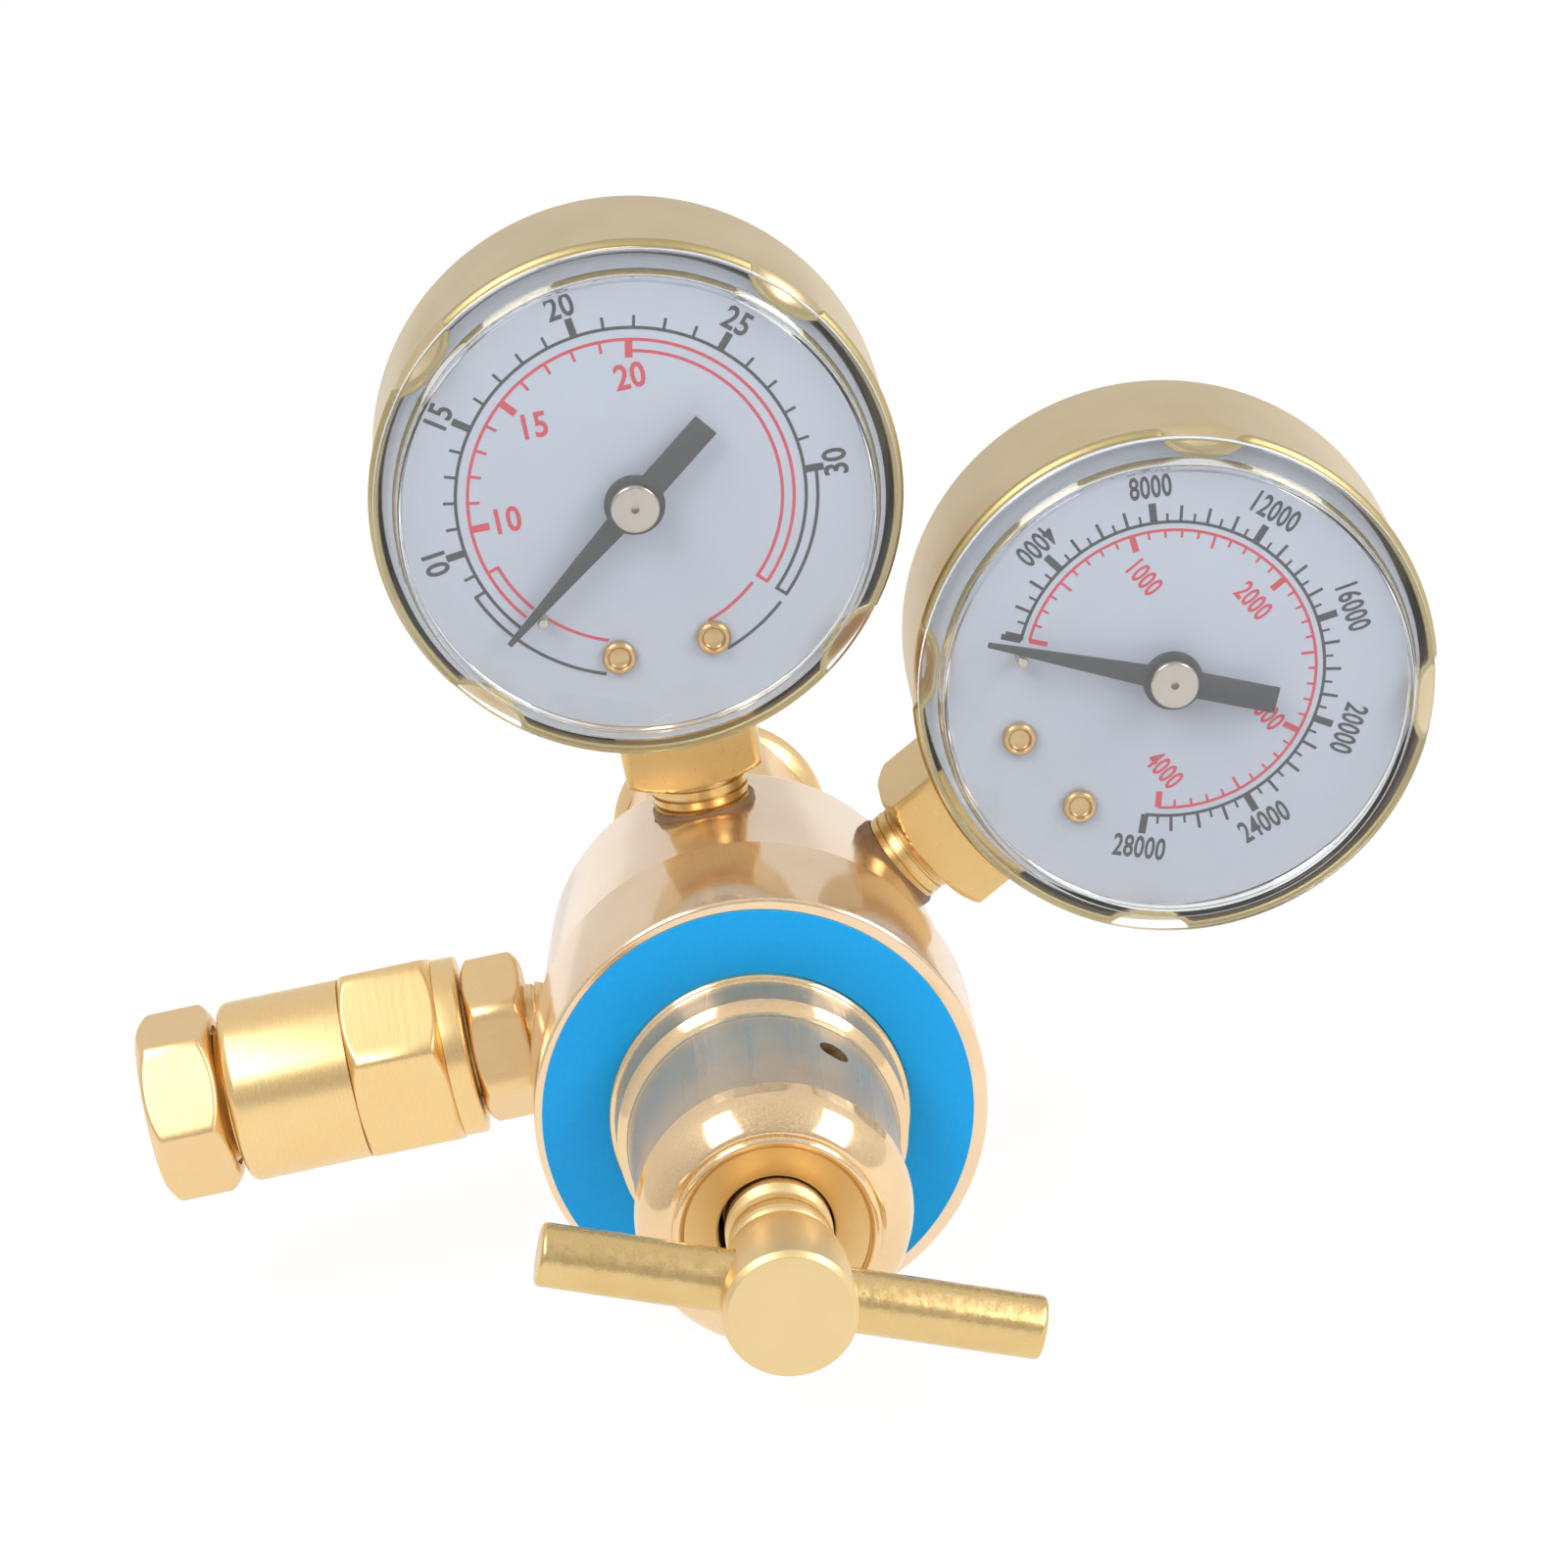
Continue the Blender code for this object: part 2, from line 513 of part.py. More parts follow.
def make_outlet():
    left = along_left()
    corner = ADAPTER_FLATS / 2 / math.cos(math.pi / 6) - 0.2
    adapter = [(SPIGOT_R - 0.6, SPIGOT_OUT), (SPIGOT_R, SPIGOT_OUT - 0.6), (SPIGOT_R, ADAPTER_HEX_OUT),
               (corner - 0.9, ADAPTER_HEX_OUT - 0.01), (corner, ADAPTER_HEX_OUT - 0.8),
               (corner, ADAPTER_HEX_IN + 0.9), (corner - 1.4, ADAPTER_HEX_IN), (OUTLET_THREAD_R, ADAPTER_HEX_IN),
               (OUTLET_THREAD_R, PORT_FLOOR_R + 1.4), (OUTLET_THREAD_R - 0.6, PORT_FLOOR_R + 0.8),
               (2.0, PORT_FLOOR_R + 0.8), (2.0, SPIGOT_OUT)]
    hexagon("outlet_adapter", adapter, ADAPTER_FLATS, ADAPTER_HEX_IN - 0.5, ADAPTER_HEX_OUT - 0.005,
            ADAPTER_HEX_TURN, satin, left)
    start = ADAPTER_HEX_OUT + GAP
    hexed = start + CONNECTOR_COLLAR_THICK
    corner = CONNECTOR_FLATS / 2 / math.cos(math.pi / 6) - 0.25
    bore = SPIGOT_R + GAP
    thread_out = BARREL_OUT + HOSE_THREAD_LENGTH
    outside = [(HOSE_THREAD_R - 0.9, thread_out), (HOSE_THREAD_R, thread_out - 0.9),
               (HOSE_THREAD_R, BARREL_OUT), (BARREL_R - 1.0, BARREL_OUT), (BARREL_R - 0.3, BARREL_OUT - 0.3),
               (BARREL_R, BARREL_OUT - 1.0), (BARREL_R, CONNECTOR_HEX_OUT), (corner - 1.3, CONNECTOR_HEX_OUT - 0.01),
               (corner, CONNECTOR_HEX_OUT - 1.1), (corner, hexed + 1.1), (corner - 1.5, hexed + 0.01),
               (CONNECTOR_COLLAR_R, hexed), (CONNECTOR_COLLAR_R, start + 0.5),
               (CONNECTOR_COLLAR_R - 0.5, start)]
    inside = [(bore, start), (bore, SPIGOT_OUT + GAP), (OUTLET_BORE_R, SPIGOT_OUT + GAP),
              (OUTLET_BORE_R, ORIFICE_DEPTH - GAP), (HOSE_BORE_R, ORIFICE_DEPTH - GAP), (HOSE_BORE_R, thread_out)]
    hexagon("outlet_connector", outside + inside, CONNECTOR_FLATS, hexed + 0.005, CONNECTOR_HEX_OUT - 0.005,
            CONNECTOR_HEX_TURN, satin, left)
    disc = [(HOSE_BORE_R - GAP, ORIFICE_DEPTH + ORIFICE_THICK), (HOSE_BORE_R - GAP, ORIFICE_DEPTH),
            (0.6, ORIFICE_DEPTH), (0.6, ORIFICE_DEPTH + ORIFICE_THICK)]
    turned("flow_orifice", disc, satin, left, HOLE_SEGMENTS)
    corner = OUTLET_NUT_FLATS / 2 / math.cos(math.pi / 6) - 0.1
    near = BARREL_OUT + OUTLET_NUT_STANDOFF
    far = near + OUTLET_NUT_LENGTH
    shelf = far - OUTLET_NUT_WALL
    bore = HOSE_THREAD_R + GAP
    nut = [(corner - 1.6, far), (corner, far - 1.4), (corner, near + 1.2), (corner - 1.5, near), (bore, near),
           (bore, shelf), (HOSE_BORE_R, shelf), (HOSE_BORE_R, far)]
    hexagon("outlet_nut", nut, OUTLET_NUT_FLATS, near - 1, far + 1, 0, satin, left)
    low = thread_out + WASHER_STANDOFF
    washer = [(HOSE_THREAD_R - 0.1, low + WASHER_THICK), (HOSE_THREAD_R - 0.1, low), (HOSE_BORE_R, low),
              (HOSE_BORE_R, low + WASHER_THICK)]
    turned("outlet_washer", washer, rubber, left, SMALL_SEGMENTS)


def pointer_outline():
    """The pointer lies along local X: a tapered blade, a disc round the arbor and a straight tail."""
    neck, tail = POINTER_NECK_WIDTH / 2, POINTER_TAIL_WIDTH / 2
    blade = math.degrees(math.asin(neck / POINTER_DISC_R))
    back = math.degrees(math.asin(tail / POINTER_DISC_R))
    tip = POINTER_TIP_WIDTH / 2
    right = [(POINTER_DISC_R * math.cos(math.radians(a)), POINTER_DISC_R * math.sin(math.radians(a)))
             for a in (blade + (180 - back - blade) * k / 6 for k in range(7))]
    half = [(POINTER_LENGTH, tip)] + right + [(-POINTER_TAIL, tail)]
    return half + [(x, -y) for x, y in reversed(half)]


def stake_outline(angle):
    """One crimp of the case behind the lens: it follows the wall outside and bulges inward."""
    reach = GAUGE_R - CASE_WALL - STAKE_REACH + STAKE_CURVE_R
    outer = GAUGE_R - CASE_WALL / 2
    cosine = (outer ** 2 + reach ** 2 - STAKE_CURVE_R ** 2) / (2 * outer * reach)
    half = math.acos(cosine)
    edge = [(outer * math.cos(half * (1 - k / 2)), outer * math.sin(half * (1 - k / 2))) for k in range(5)]
    side = math.asin(outer * math.sin(half) / STAKE_CURVE_R)
    inner = [(reach - STAKE_CURVE_R * math.cos(side * (k / 3 - 1)), STAKE_CURVE_R * math.sin(side * (k / 3 - 1)))
             for k in range(1, 6)]
    turn = math.radians(angle)
    return [(x * math.cos(turn) - y * math.sin(turn), x * math.sin(turn) + y * math.cos(turn))
            for x, y in edge + inner]


def make_case(name, angle, sunk):
    middle = gauge_axis(angle, sunk)
    inner = GAUGE_R - CASE_WALL
    outside = arc(GAUGE_R - CASE_ROUND, CASE_BACK - CASE_ROUND, CASE_ROUND, 90, 0, 3)
    outside += [(GAUGE_R, CASE_FRONT + 0.3), (GAUGE_R - 0.25, CASE_FRONT)]
    inside = [(inner, CASE_FRONT), (inner, CASE_BACK - CASE_ROUND), (inner - 1.7, CASE_BACK - CASE_WALL),
              (0, CASE_BACK - CASE_WALL)]
    case = turned(name + "_case", [(0, CASE_BACK)] + outside + inside, case_brass, middle)
    for stake in STAKE_ANGLES:
        tab = plate_outline(f"{name}_stake_{stake}", [stake_outline(stake)], STAKE_THICK, None,
                            middle @ Matrix.Translation((0, 0, (LENS_BACK + GAP + STAKE_THICK / 2) * MM)))
        parts.objects.unlink(tab)
        cutters.objects.link(tab)
        tab.hide_render = True
        tab.display_type = "WIRE"
        boolean(case, tab, "UNION")
    side = SOCKET_SIDE + 2 * GAP
    low = GAUGE_OUT - GAUGE_R - 1
    slot = cutter(name + "_slot", prism(4, side, low, SOCKET_LUG_OUT - 4, 0), along_gauge(angle, sunk))
    boolean(case, slot)


def make_gauge(name, angle, sunk):
    middle = gauge_axis(angle, sunk)
    make_case(name, angle, sunk)
    plug = GAUGE_R - CASE_WALL - GAP
    rim_back = CASE_FRONT - GAP
    groove = LENS_FRONT + LENS_GROOVE
    lens = [(plug, LENS_BACK), (plug, rim_back), (GAUGE_R, rim_back)]
    lens += arc(GAUGE_R - LENS_RIM_ROUND, LENS_FRONT + LENS_RIM_ROUND, LENS_RIM_ROUND, 0, -90, 2)
    lens += [(LENS_GROOVE_R, LENS_FRONT), (LENS_GROOVE_R - 0.3, groove), (LENS_WINDOW_R + 0.3, groove),
             (LENS_WINDOW_R, LENS_FRONT), (0, LENS_FRONT)]
    hollow = [(0, LENS_FRONT + LENS_THICK), (LENS_WINDOW_R - 1.0, LENS_FRONT + LENS_THICK),
              (LENS_WINDOW_R - 1.0, LENS_BACK)]
    lens_piece = turned(name + "_lens", hollow + lens, clear, middle)
    dial = [circle(DIAL_R, SEGMENTS), circle(BUSH_R + GAP, 10)]
    for x in (-RIVET_PLACE[0], RIVET_PLACE[0]):
        dial.append(circle(RIVET_SHANK_R + GAP, 10, x, -RIVET_PLACE[1]))
    stop = math.radians(STOP_ANGLE)
    stop_x, stop_y = STOP_PLACE_R * math.cos(stop), -STOP_PLACE_R * math.sin(stop)
    dial.append(circle(STOP_R - 0.2 + GAP, 8, stop_x, stop_y))
    face = middle @ Matrix.Translation((0, 0, (DIAL_FRONT + DIAL_THICK / 2) * MM))
    plate_outline(name + "_dial", dial, DIAL_THICK, white, face)
    for letter, x in (("a", -RIVET_PLACE[0]), ("b", RIVET_PLACE[0])):
        place = middle @ Matrix.Translation(Vector((x, -RIVET_PLACE[1], DIAL_FRONT)) * MM)
        shank = DIAL_THICK + GAP + FRAME_PLATE
        rivet = [(0, shank), (RIVET_SHANK_R, shank), (RIVET_SHANK_R, -GAP), (RIVET_R, -GAP), (RIVET_R, -0.7),
                 (RIVET_R - 0.4, -1.1), (0, -1.1)]
        turned(f"{name}_dial_rivet_{letter}", rivet, satin, place, 10)
    pin = [(0, DIAL_THICK), (STOP_R - 0.2, DIAL_THICK), (STOP_R - 0.2, -GAP), (STOP_R, -GAP), (STOP_R, -2.6),
           (0, -2.6)]
    turned(name + "_stop_pin", pin, nickel, middle @ Matrix.Translation(Vector((stop_x, stop_y, DIAL_FRONT)) * MM), 8)
    point = middle @ Matrix.Translation((0, 0, (POINTER_FRONT + POINTER_THICK / 2) * MM))
    point = point @ Matrix.Rotation(-math.radians(POINTER_REST), 4, "Z")
    plate_outline(name + "_pointer", [pointer_outline(), circle(BUSH_R + GAP, 10)], POINTER_THICK, black, point)
    bush_end = DIAL_FRONT + DIAL_THICK / 2
    hollow_end = CAP_FRONT + 0.7
    cap = [(BUSH_R, bush_end), (BUSH_R, CAP_FRONT + CAP_THICK), (CAP_R, CAP_FRONT + CAP_THICK),
           (CAP_R, CAP_FRONT + 0.3), (CAP_R - 0.3, CAP_FRONT), (0, CAP_FRONT)]
    cap = [(0, hollow_end), (ARBOR_R + 0.1, hollow_end), (ARBOR_R + 0.1, bush_end)] + cap
    turned(name + "_pointer_cap", cap, nickel, middle, 14)
    make_movement(name, angle, sunk)


def make_movement(name, angle, sunk):
    middle = gauge_axis(angle, sunk)
    front = DIAL_FRONT + DIAL_THICK + GAP
    rear = front + FRAME_PLATE + FRAME_GAP
    pinion = front + FRAME_PLATE + 1.2
    arbor = [(0, rear + FRAME_PLATE + 0.3), (ARBOR_R, rear + FRAME_PLATE + 0.3), (ARBOR_R, pinion + 2.4),
             (PINION_R, pinion + 2.4), (PINION_R, pinion), (ARBOR_R, pinion), (ARBOR_R, CAP_FRONT + 1.0),
             (0, CAP_FRONT + 1.0)]
    turned(name + "_pinion_arbor", arbor, steel, middle, 10)
    pivot_y = SECTOR_R + PINION_R + GAP
    half = 4.6
    foot = -RIVET_PLACE[1] + RIVET_SHANK_R + GAP + 1.0
    wide = RIVET_PLACE[0] + RIVET_SHANK_R + GAP + 1.0
    shape = [(-half, -5.0), (half, -5.0), (half, 12.0), (wide, 14.4), (wide, foot), (-wide, foot), (-wide, 14.4),
             (-half, 12.0)]
    holes = [circle(ARBOR_R + GAP, 10), circle(ARBOR_R + GAP, 10, 0, pivot_y)]
    rivets = [circle(RIVET_SHANK_R + GAP, 10, x, -RIVET_PLACE[1]) for x in (-RIVET_PLACE[0], RIVET_PLACE[0])]
    place = middle @ Matrix.Translation((0, 0, (front + FRAME_PLATE / 2) * MM))
    frame = plate_outline(name + "_movement_frame", [shape] + holes + rivets, FRAME_PLATE, satin, place)
    square = [(-half, -5.0), (half, -5.0), (half, 16.2), (-half, 16.2)]
    place = middle @ Matrix.Translation((0, 0, (rear + FRAME_PLATE / 2) * MM))
    back = plate_outline(name + "_rear_plate", [square] + holes, FRAME_PLATE, None, place)
    posts = [cutter(f"{name}_post_{k}", rod(0.9, front + 0.2, rear + 0.2, 5), middle @ Matrix.Translation(Vector((x, y, 0)) * MM))
             for k, (x, y) in enumerate(((0, -3.8), (-3.6, 14.8), (3.6, 14.8)))]
    parts.objects.unlink(back)
    cutters.objects.link(back)
    back.hide_render = True
    back.display_type = "WIRE"
    for piece in posts + [back]:
        boolean(frame, piece, "UNION")
    make_sector(name, middle @ Matrix.Translation((0, pivot_y * MM, 0)), front, pinion, rear)
    bend_tube(name + "_bourdon_tube", middle)
    make_socket(name, angle, sunk)


def make_sector(name, place, front, pinion, rear):
    """The sector turns on its own pivot below the arbor; at rest it stands to the right of the pinion."""
    low, high = -4.0, 38.0
    rim = [(SECTOR_R * math.sin(math.radians(a)), -SECTOR_R * math.cos(math.radians(a)))
           for a in (low + (high - low) * k / 8 for k in range(9))]
    hub = [(2.0 * math.sin(math.radians(a)), -2.0 * math.cos(math.radians(a))) for a in (80, 140, 200, 260, 320)]
    level = place @ Matrix.Translation((0, 0, (pinion + 1.2) * MM))
    sector = plate_outline(name + "_sector_gear", [rim + hub], SECTOR_THICK, satin, level)
    pin = cutter(name + "_sector_pin", rod(ARBOR_R, front + 0.1, rear + FRAME_PLATE - 0.1, 8), place)
    boolean(sector, pin, "UNION")


def bend_tube(name, middle):
    """The flattened Bourdon tube: its rounded section is spun round the gauge's axis."""
    bm = bmesh.new()
    half, wide = TUBE_THICK / 2, TUBE_WIDTH / 2
    section = [(half, wide - 1.2), (half - 0.8, wide), (0.8 - half, wide), (-half, wide - 1.2)]
    section += [(-x, -z) for x, z in section]
    verts = [bm.verts.new(((TUBE_R + x) * MM, 0, (PORT_DEPTH + z) * MM)) for x, z in section]
    face = bm.faces.new(verts)
    bmesh.ops.rotate(bm, verts=verts, cent=(0, 0, 0), matrix=Matrix.Rotation(math.radians(-TUBE_START), 3, "Z"))
    turned_part = bmesh.ops.extrude_face_region(bm, geom=[face], use_keep_orig=True)
    ring = [v for v in turned_part["geom"] if isinstance(v, bmesh.types.BMVert)]
    steps = 16
    step = Matrix.Rotation(math.radians(-(TUBE_END - TUBE_START) / steps), 3, "Z")
    bmesh.ops.rotate(bm, verts=ring, cent=(0, 0, 0), matrix=step)
    for _ in range(steps - 1):
        end = [f for f in bm.faces if all(v in ring for v in f.verts)][0]
        grown = bmesh.ops.extrude_face_region(bm, geom=[end])
        bmesh.ops.delete(bm, geom=[end], context="FACES_ONLY")
        ring = [v for v in grown["geom"] if isinstance(v, bmesh.types.BMVert)]
        bmesh.ops.rotate(bm, verts=ring, cent=(0, 0, 0), matrix=step)
    bmesh.ops.recalc_face_normals(bm, faces=bm.faces)
    mesh = bpy.data.meshes.new(name)
    bm.to_mesh(mesh)
    bm.free()
    return add(name, mesh, satin, middle)


def make_socket(name, angle, sunk):
    bore = 1.4
    foot = PORT_FLOOR_R + sunk + 0.6
    blank = [(SOCKET_LUG_R - 0.6, SOCKET_LUG_OUT), (SOCKET_LUG_R, SOCKET_LUG_OUT - 0.6),
             (SOCKET_LUG_R, SOCKET_LUG_IN), (SOCKET_CORNER_R, SOCKET_LUG_IN), (SOCKET_CORNER_R, SOCKET_IN + 1.2),
             (SOCKET_CORNER_R - 1.8, SOCKET_IN), (STEM_R, SOCKET_IN), (STEM_R, foot + 0.6),
             (STEM_R - 0.6, foot), (bore, foot), (bore, SOCKET_LUG_OUT)]
    frame = along_gauge(angle, sunk)
    block = turned(name + "_socket", blank, satin, frame, FITTING_SEGMENTS)
    square = cutter(name + "_square", prism(4, SOCKET_SIDE, PORT_FLOOR_R - 2, SOCKET_LUG_OUT + 2), frame)
    boolean(block, square, "INTERSECT")


clear_scene()
parts = bpy.data.collections.new("argon_flowmeter_regulator")
cutters = bpy.data.collections.new("cutters")
for group in (parts, cutters):
    bpy.context.scene.collection.children.link(group)
polished = material("polished_brass", (0.86, 0.62, 0.42), 0.12, 1.0)
satin = material("satin_brass", (0.80, 0.62, 0.28), 0.35, 1.0)
case_brass = material("pressed_case", (0.74, 0.62, 0.36), 0.4, 1.0)
bronze = material("sintered_bronze", (0.55, 0.38, 0.2), 0.8, 1.0)
steel = material("spring_steel", (0.5, 0.5, 0.5), 0.4, 1.0)
nickel = material("nickel", (0.75, 0.73, 0.7), 0.25, 1.0)
black = material("pointer_black", (0.03, 0.03, 0.03), 0.5, 0.0)
white = material("dial_white", (0.8, 0.85, 0.9), 0.5, 0.0)
blue = material("label_blue", (0.02, 0.4, 0.75), 0.4, 0.0)
clear = material("clear_plastic", (0.9, 0.92, 0.95), 0.05, 0.0)
rubber = material("rubber", (0.05, 0.05, 0.05), 0.7, 0.0)

make_body()
make_bonnet()
make_screw()
make_spring_stack()
make_valve()
make_inlet()
make_outlet()
for gauge in GAUGES:
    make_gauge(*gauge)
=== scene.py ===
import math

import bmesh
import bpy
from mathutils import Matrix, Vector


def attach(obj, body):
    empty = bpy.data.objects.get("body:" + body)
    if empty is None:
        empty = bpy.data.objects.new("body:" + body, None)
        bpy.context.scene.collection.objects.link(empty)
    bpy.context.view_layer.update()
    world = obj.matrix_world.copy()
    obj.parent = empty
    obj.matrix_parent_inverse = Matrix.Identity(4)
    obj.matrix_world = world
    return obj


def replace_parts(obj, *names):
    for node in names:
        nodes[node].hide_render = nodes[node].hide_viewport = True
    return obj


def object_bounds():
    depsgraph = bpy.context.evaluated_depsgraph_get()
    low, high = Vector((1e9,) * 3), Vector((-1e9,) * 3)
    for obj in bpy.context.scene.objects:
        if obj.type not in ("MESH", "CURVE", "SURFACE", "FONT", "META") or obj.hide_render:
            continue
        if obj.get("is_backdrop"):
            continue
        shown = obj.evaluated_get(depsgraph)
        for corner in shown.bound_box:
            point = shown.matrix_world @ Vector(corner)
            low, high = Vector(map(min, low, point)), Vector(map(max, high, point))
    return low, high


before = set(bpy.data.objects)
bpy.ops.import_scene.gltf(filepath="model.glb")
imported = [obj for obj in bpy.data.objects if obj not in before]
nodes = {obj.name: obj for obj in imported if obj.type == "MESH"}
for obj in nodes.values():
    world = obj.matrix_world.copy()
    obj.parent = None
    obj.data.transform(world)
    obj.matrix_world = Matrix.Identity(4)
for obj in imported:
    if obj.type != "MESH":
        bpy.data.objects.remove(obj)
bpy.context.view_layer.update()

# Camera. A long lens above the regulator that looks down on it and is turned about its own axis, so that
# the flow gauge leans to the left and the adjusting screw comes down to the viewer.
camera = bpy.data.objects.new("camera", bpy.data.cameras.new("camera"))
camera.data.lens = 146.25
camera.data.sensor_width = 36.0
camera.data.clip_end = 20.0
sight = Matrix((
    (0.97841, 0.20630, 0.01247),
    (-0.05784, 0.33120, -0.94179),
    (-0.19842, 0.92073, 0.33599)))
camera.rotation_mode = "QUATERNION"
camera.rotation_quaternion = sight.to_quaternion()
camera.location = (0.016695, -0.675388, 0.24116)
bpy.context.scene.collection.objects.link(camera)
bpy.context.scene.camera = camera


# Regulator body. One bar of polished brass, turned to a front flange and a tapered rear drum, with a
# boss for the inlet. Three radial ports take the gauges and the outlet. Sizes are in millimetres, and
# depth runs to the back from the label's face.
MM = 0.001
LABEL_Y = -0.093
PORT_DEPTH = 35.0
GAUGE_TURNS = {"flow": 0.0, "pressure": 61.2}
GAUGE_SUNK = {"flow": 0.0, "pressure": 0.7}
CREASE = math.radians(30)


def back(x=0.0, z=0.0):
    """Local Z runs to the back, from the label's face."""
    return Matrix.Translation((x * MM, LABEL_Y, z * MM)) @ Matrix.Rotation(-math.pi / 2, 4, "X")


def left():
    """Local Z runs to the left from the body's axis, through the outlet port."""
    port = Matrix.Translation((0, LABEL_Y + PORT_DEPTH * MM, 0))
    return port @ Matrix.Rotation(-math.pi / 2, 4, "Y")


def outward(gauge):
    """Local Z runs outward from the body's axis, through a gauge's port."""
    port = Matrix.Translation((0, LABEL_Y + PORT_DEPTH * MM, 0))
    return port @ Matrix.Rotation(math.radians(GAUGE_TURNS[gauge]), 4, "Y")


def rounded(corners, steps=5):
    """Outline points from corners of radius, height and how far the rounding reaches."""
    points = []
    for k, (r, z, reach) in enumerate(corners):
        here = Vector((r, z))
        if not reach:
            points.append(here)
            continue
        start = here + (Vector(corners[k - 1][:2]) - here).normalized() * reach
        end = here + (Vector(corners[(k + 1) % len(corners)][:2]) - here).normalized() * reach
        for step in range(steps + 1):
            t = step / steps
            points.append(start * (1 - t) ** 2 + here * 2 * t * (1 - t) + end * t * t)
    return [tuple(point) for point in points]


def piece(name, mesh, finish):
    """An object of that mesh and material, with smooth faces and sharp edges."""
    mesh.materials.clear()
    mesh.materials.append(finish)
    mesh.shade_smooth()
    mesh.set_sharp_from_angle(angle=CREASE)
    made = bpy.data.objects.new(name, mesh)
    bpy.context.scene.collection.objects.link(made)
    return made


def outward_faces(mesh):
    """Joins the points that coincide and turns every face outward."""
    bm = bmesh.new()
    bm.from_mesh(mesh)
    bmesh.ops.remove_doubles(bm, verts=bm.verts, dist=1e-7)
    bmesh.ops.recalc_face_normals(bm, faces=bm.faces)
    bm.to_mesh(mesh)
    bm.free()


def turned(name, outline, place, finish, sides=144, shape=None):
    """A turned piece: the outline of radius and height goes round local Z. shape takes the angle, the
    radius and the height, and gives the radius that is left after milling."""
    verts, rings, faces = [], [], []
    for r, z in outline:
        if r < 1e-6:
            rings.append([len(verts)] * sides)
            verts.append((0, 0, z * MM))
            continue
        rings.append(range(len(verts), len(verts) + sides))
        for k in range(sides):
            turn = 2 * math.pi * k / sides
            radius = shape(turn, r, z) if shape else r
            verts.append((radius * math.cos(turn) * MM, radius * math.sin(turn) * MM, z * MM))
    solid = outline[0][0] < 1e-6 and outline[-1][0] < 1e-6
    for low, high in zip(rings, rings[1:] if solid else rings[1:] + rings[:1]):
        for k in range(sides):
            n = (k + 1) % sides
            corners = dict.fromkeys((low[k], low[n], high[n], high[k]))
            if len(corners) > 2:
                faces.append(tuple(corners))
    mesh = bpy.data.meshes.new(name)
    mesh.from_pydata(verts, [], faces)
    mesh.transform(place)
    outward_faces(mesh)
    return piece(name, mesh, finish)


def evaluated_mesh(made):
    """The plain mesh that an object's modifiers, or its letters, give."""
    bpy.context.view_layer.update()
    graph = bpy.context.evaluated_depsgraph_get()
    return bpy.data.meshes.new_from_object(made.evaluated_get(graph))


def drilled(target, *tools):
    """Cuts the tools out of a piece and removes them."""
    for tool in tools:
        cut = target.modifiers.new("cut", "BOOLEAN")
        cut.object = tool
        cut.solver = "EXACT"
    mesh = evaluated_mesh(target)
    target.modifiers.clear()
    target.data = mesh
    mesh.shade_smooth()
    mesh.set_sharp_from_angle(angle=CREASE)
    for tool in tools:
        bpy.data.objects.remove(tool, do_unlink=True)


def drill(radius, low, high, place, sides=48):
    """A plain cylinder along local Z, to cut a hole with."""
    corners = [(0, low), (radius, low), (radius, high), (0, high)]
    return turned("drill", corners, place, None, sides)


def new_finish(name):
    """An empty material, with its node tree and its shader."""
    finish = bpy.data.materials.new(name)
    finish.use_nodes = True
    return finish, finish.node_tree, finish.node_tree.nodes["Principled BSDF"]


def new_node(tree, kind, **values):
    """A node with these values on its inputs, where _ stands for a space."""
    node = tree.nodes.new(kind)
    for label, value in values.items():
        node.inputs[label.replace("_", " ")].default_value = value
    return node


def two_tones(tree, light, deep):
    """A mix of two colours."""
    tone = tree.nodes.new("ShaderNodeMix")
    tone.data_type = "RGBA"
    tone.inputs["A"].default_value = (*deep, 1)
    tone.inputs["B"].default_value = (*light, 1)
    return tone


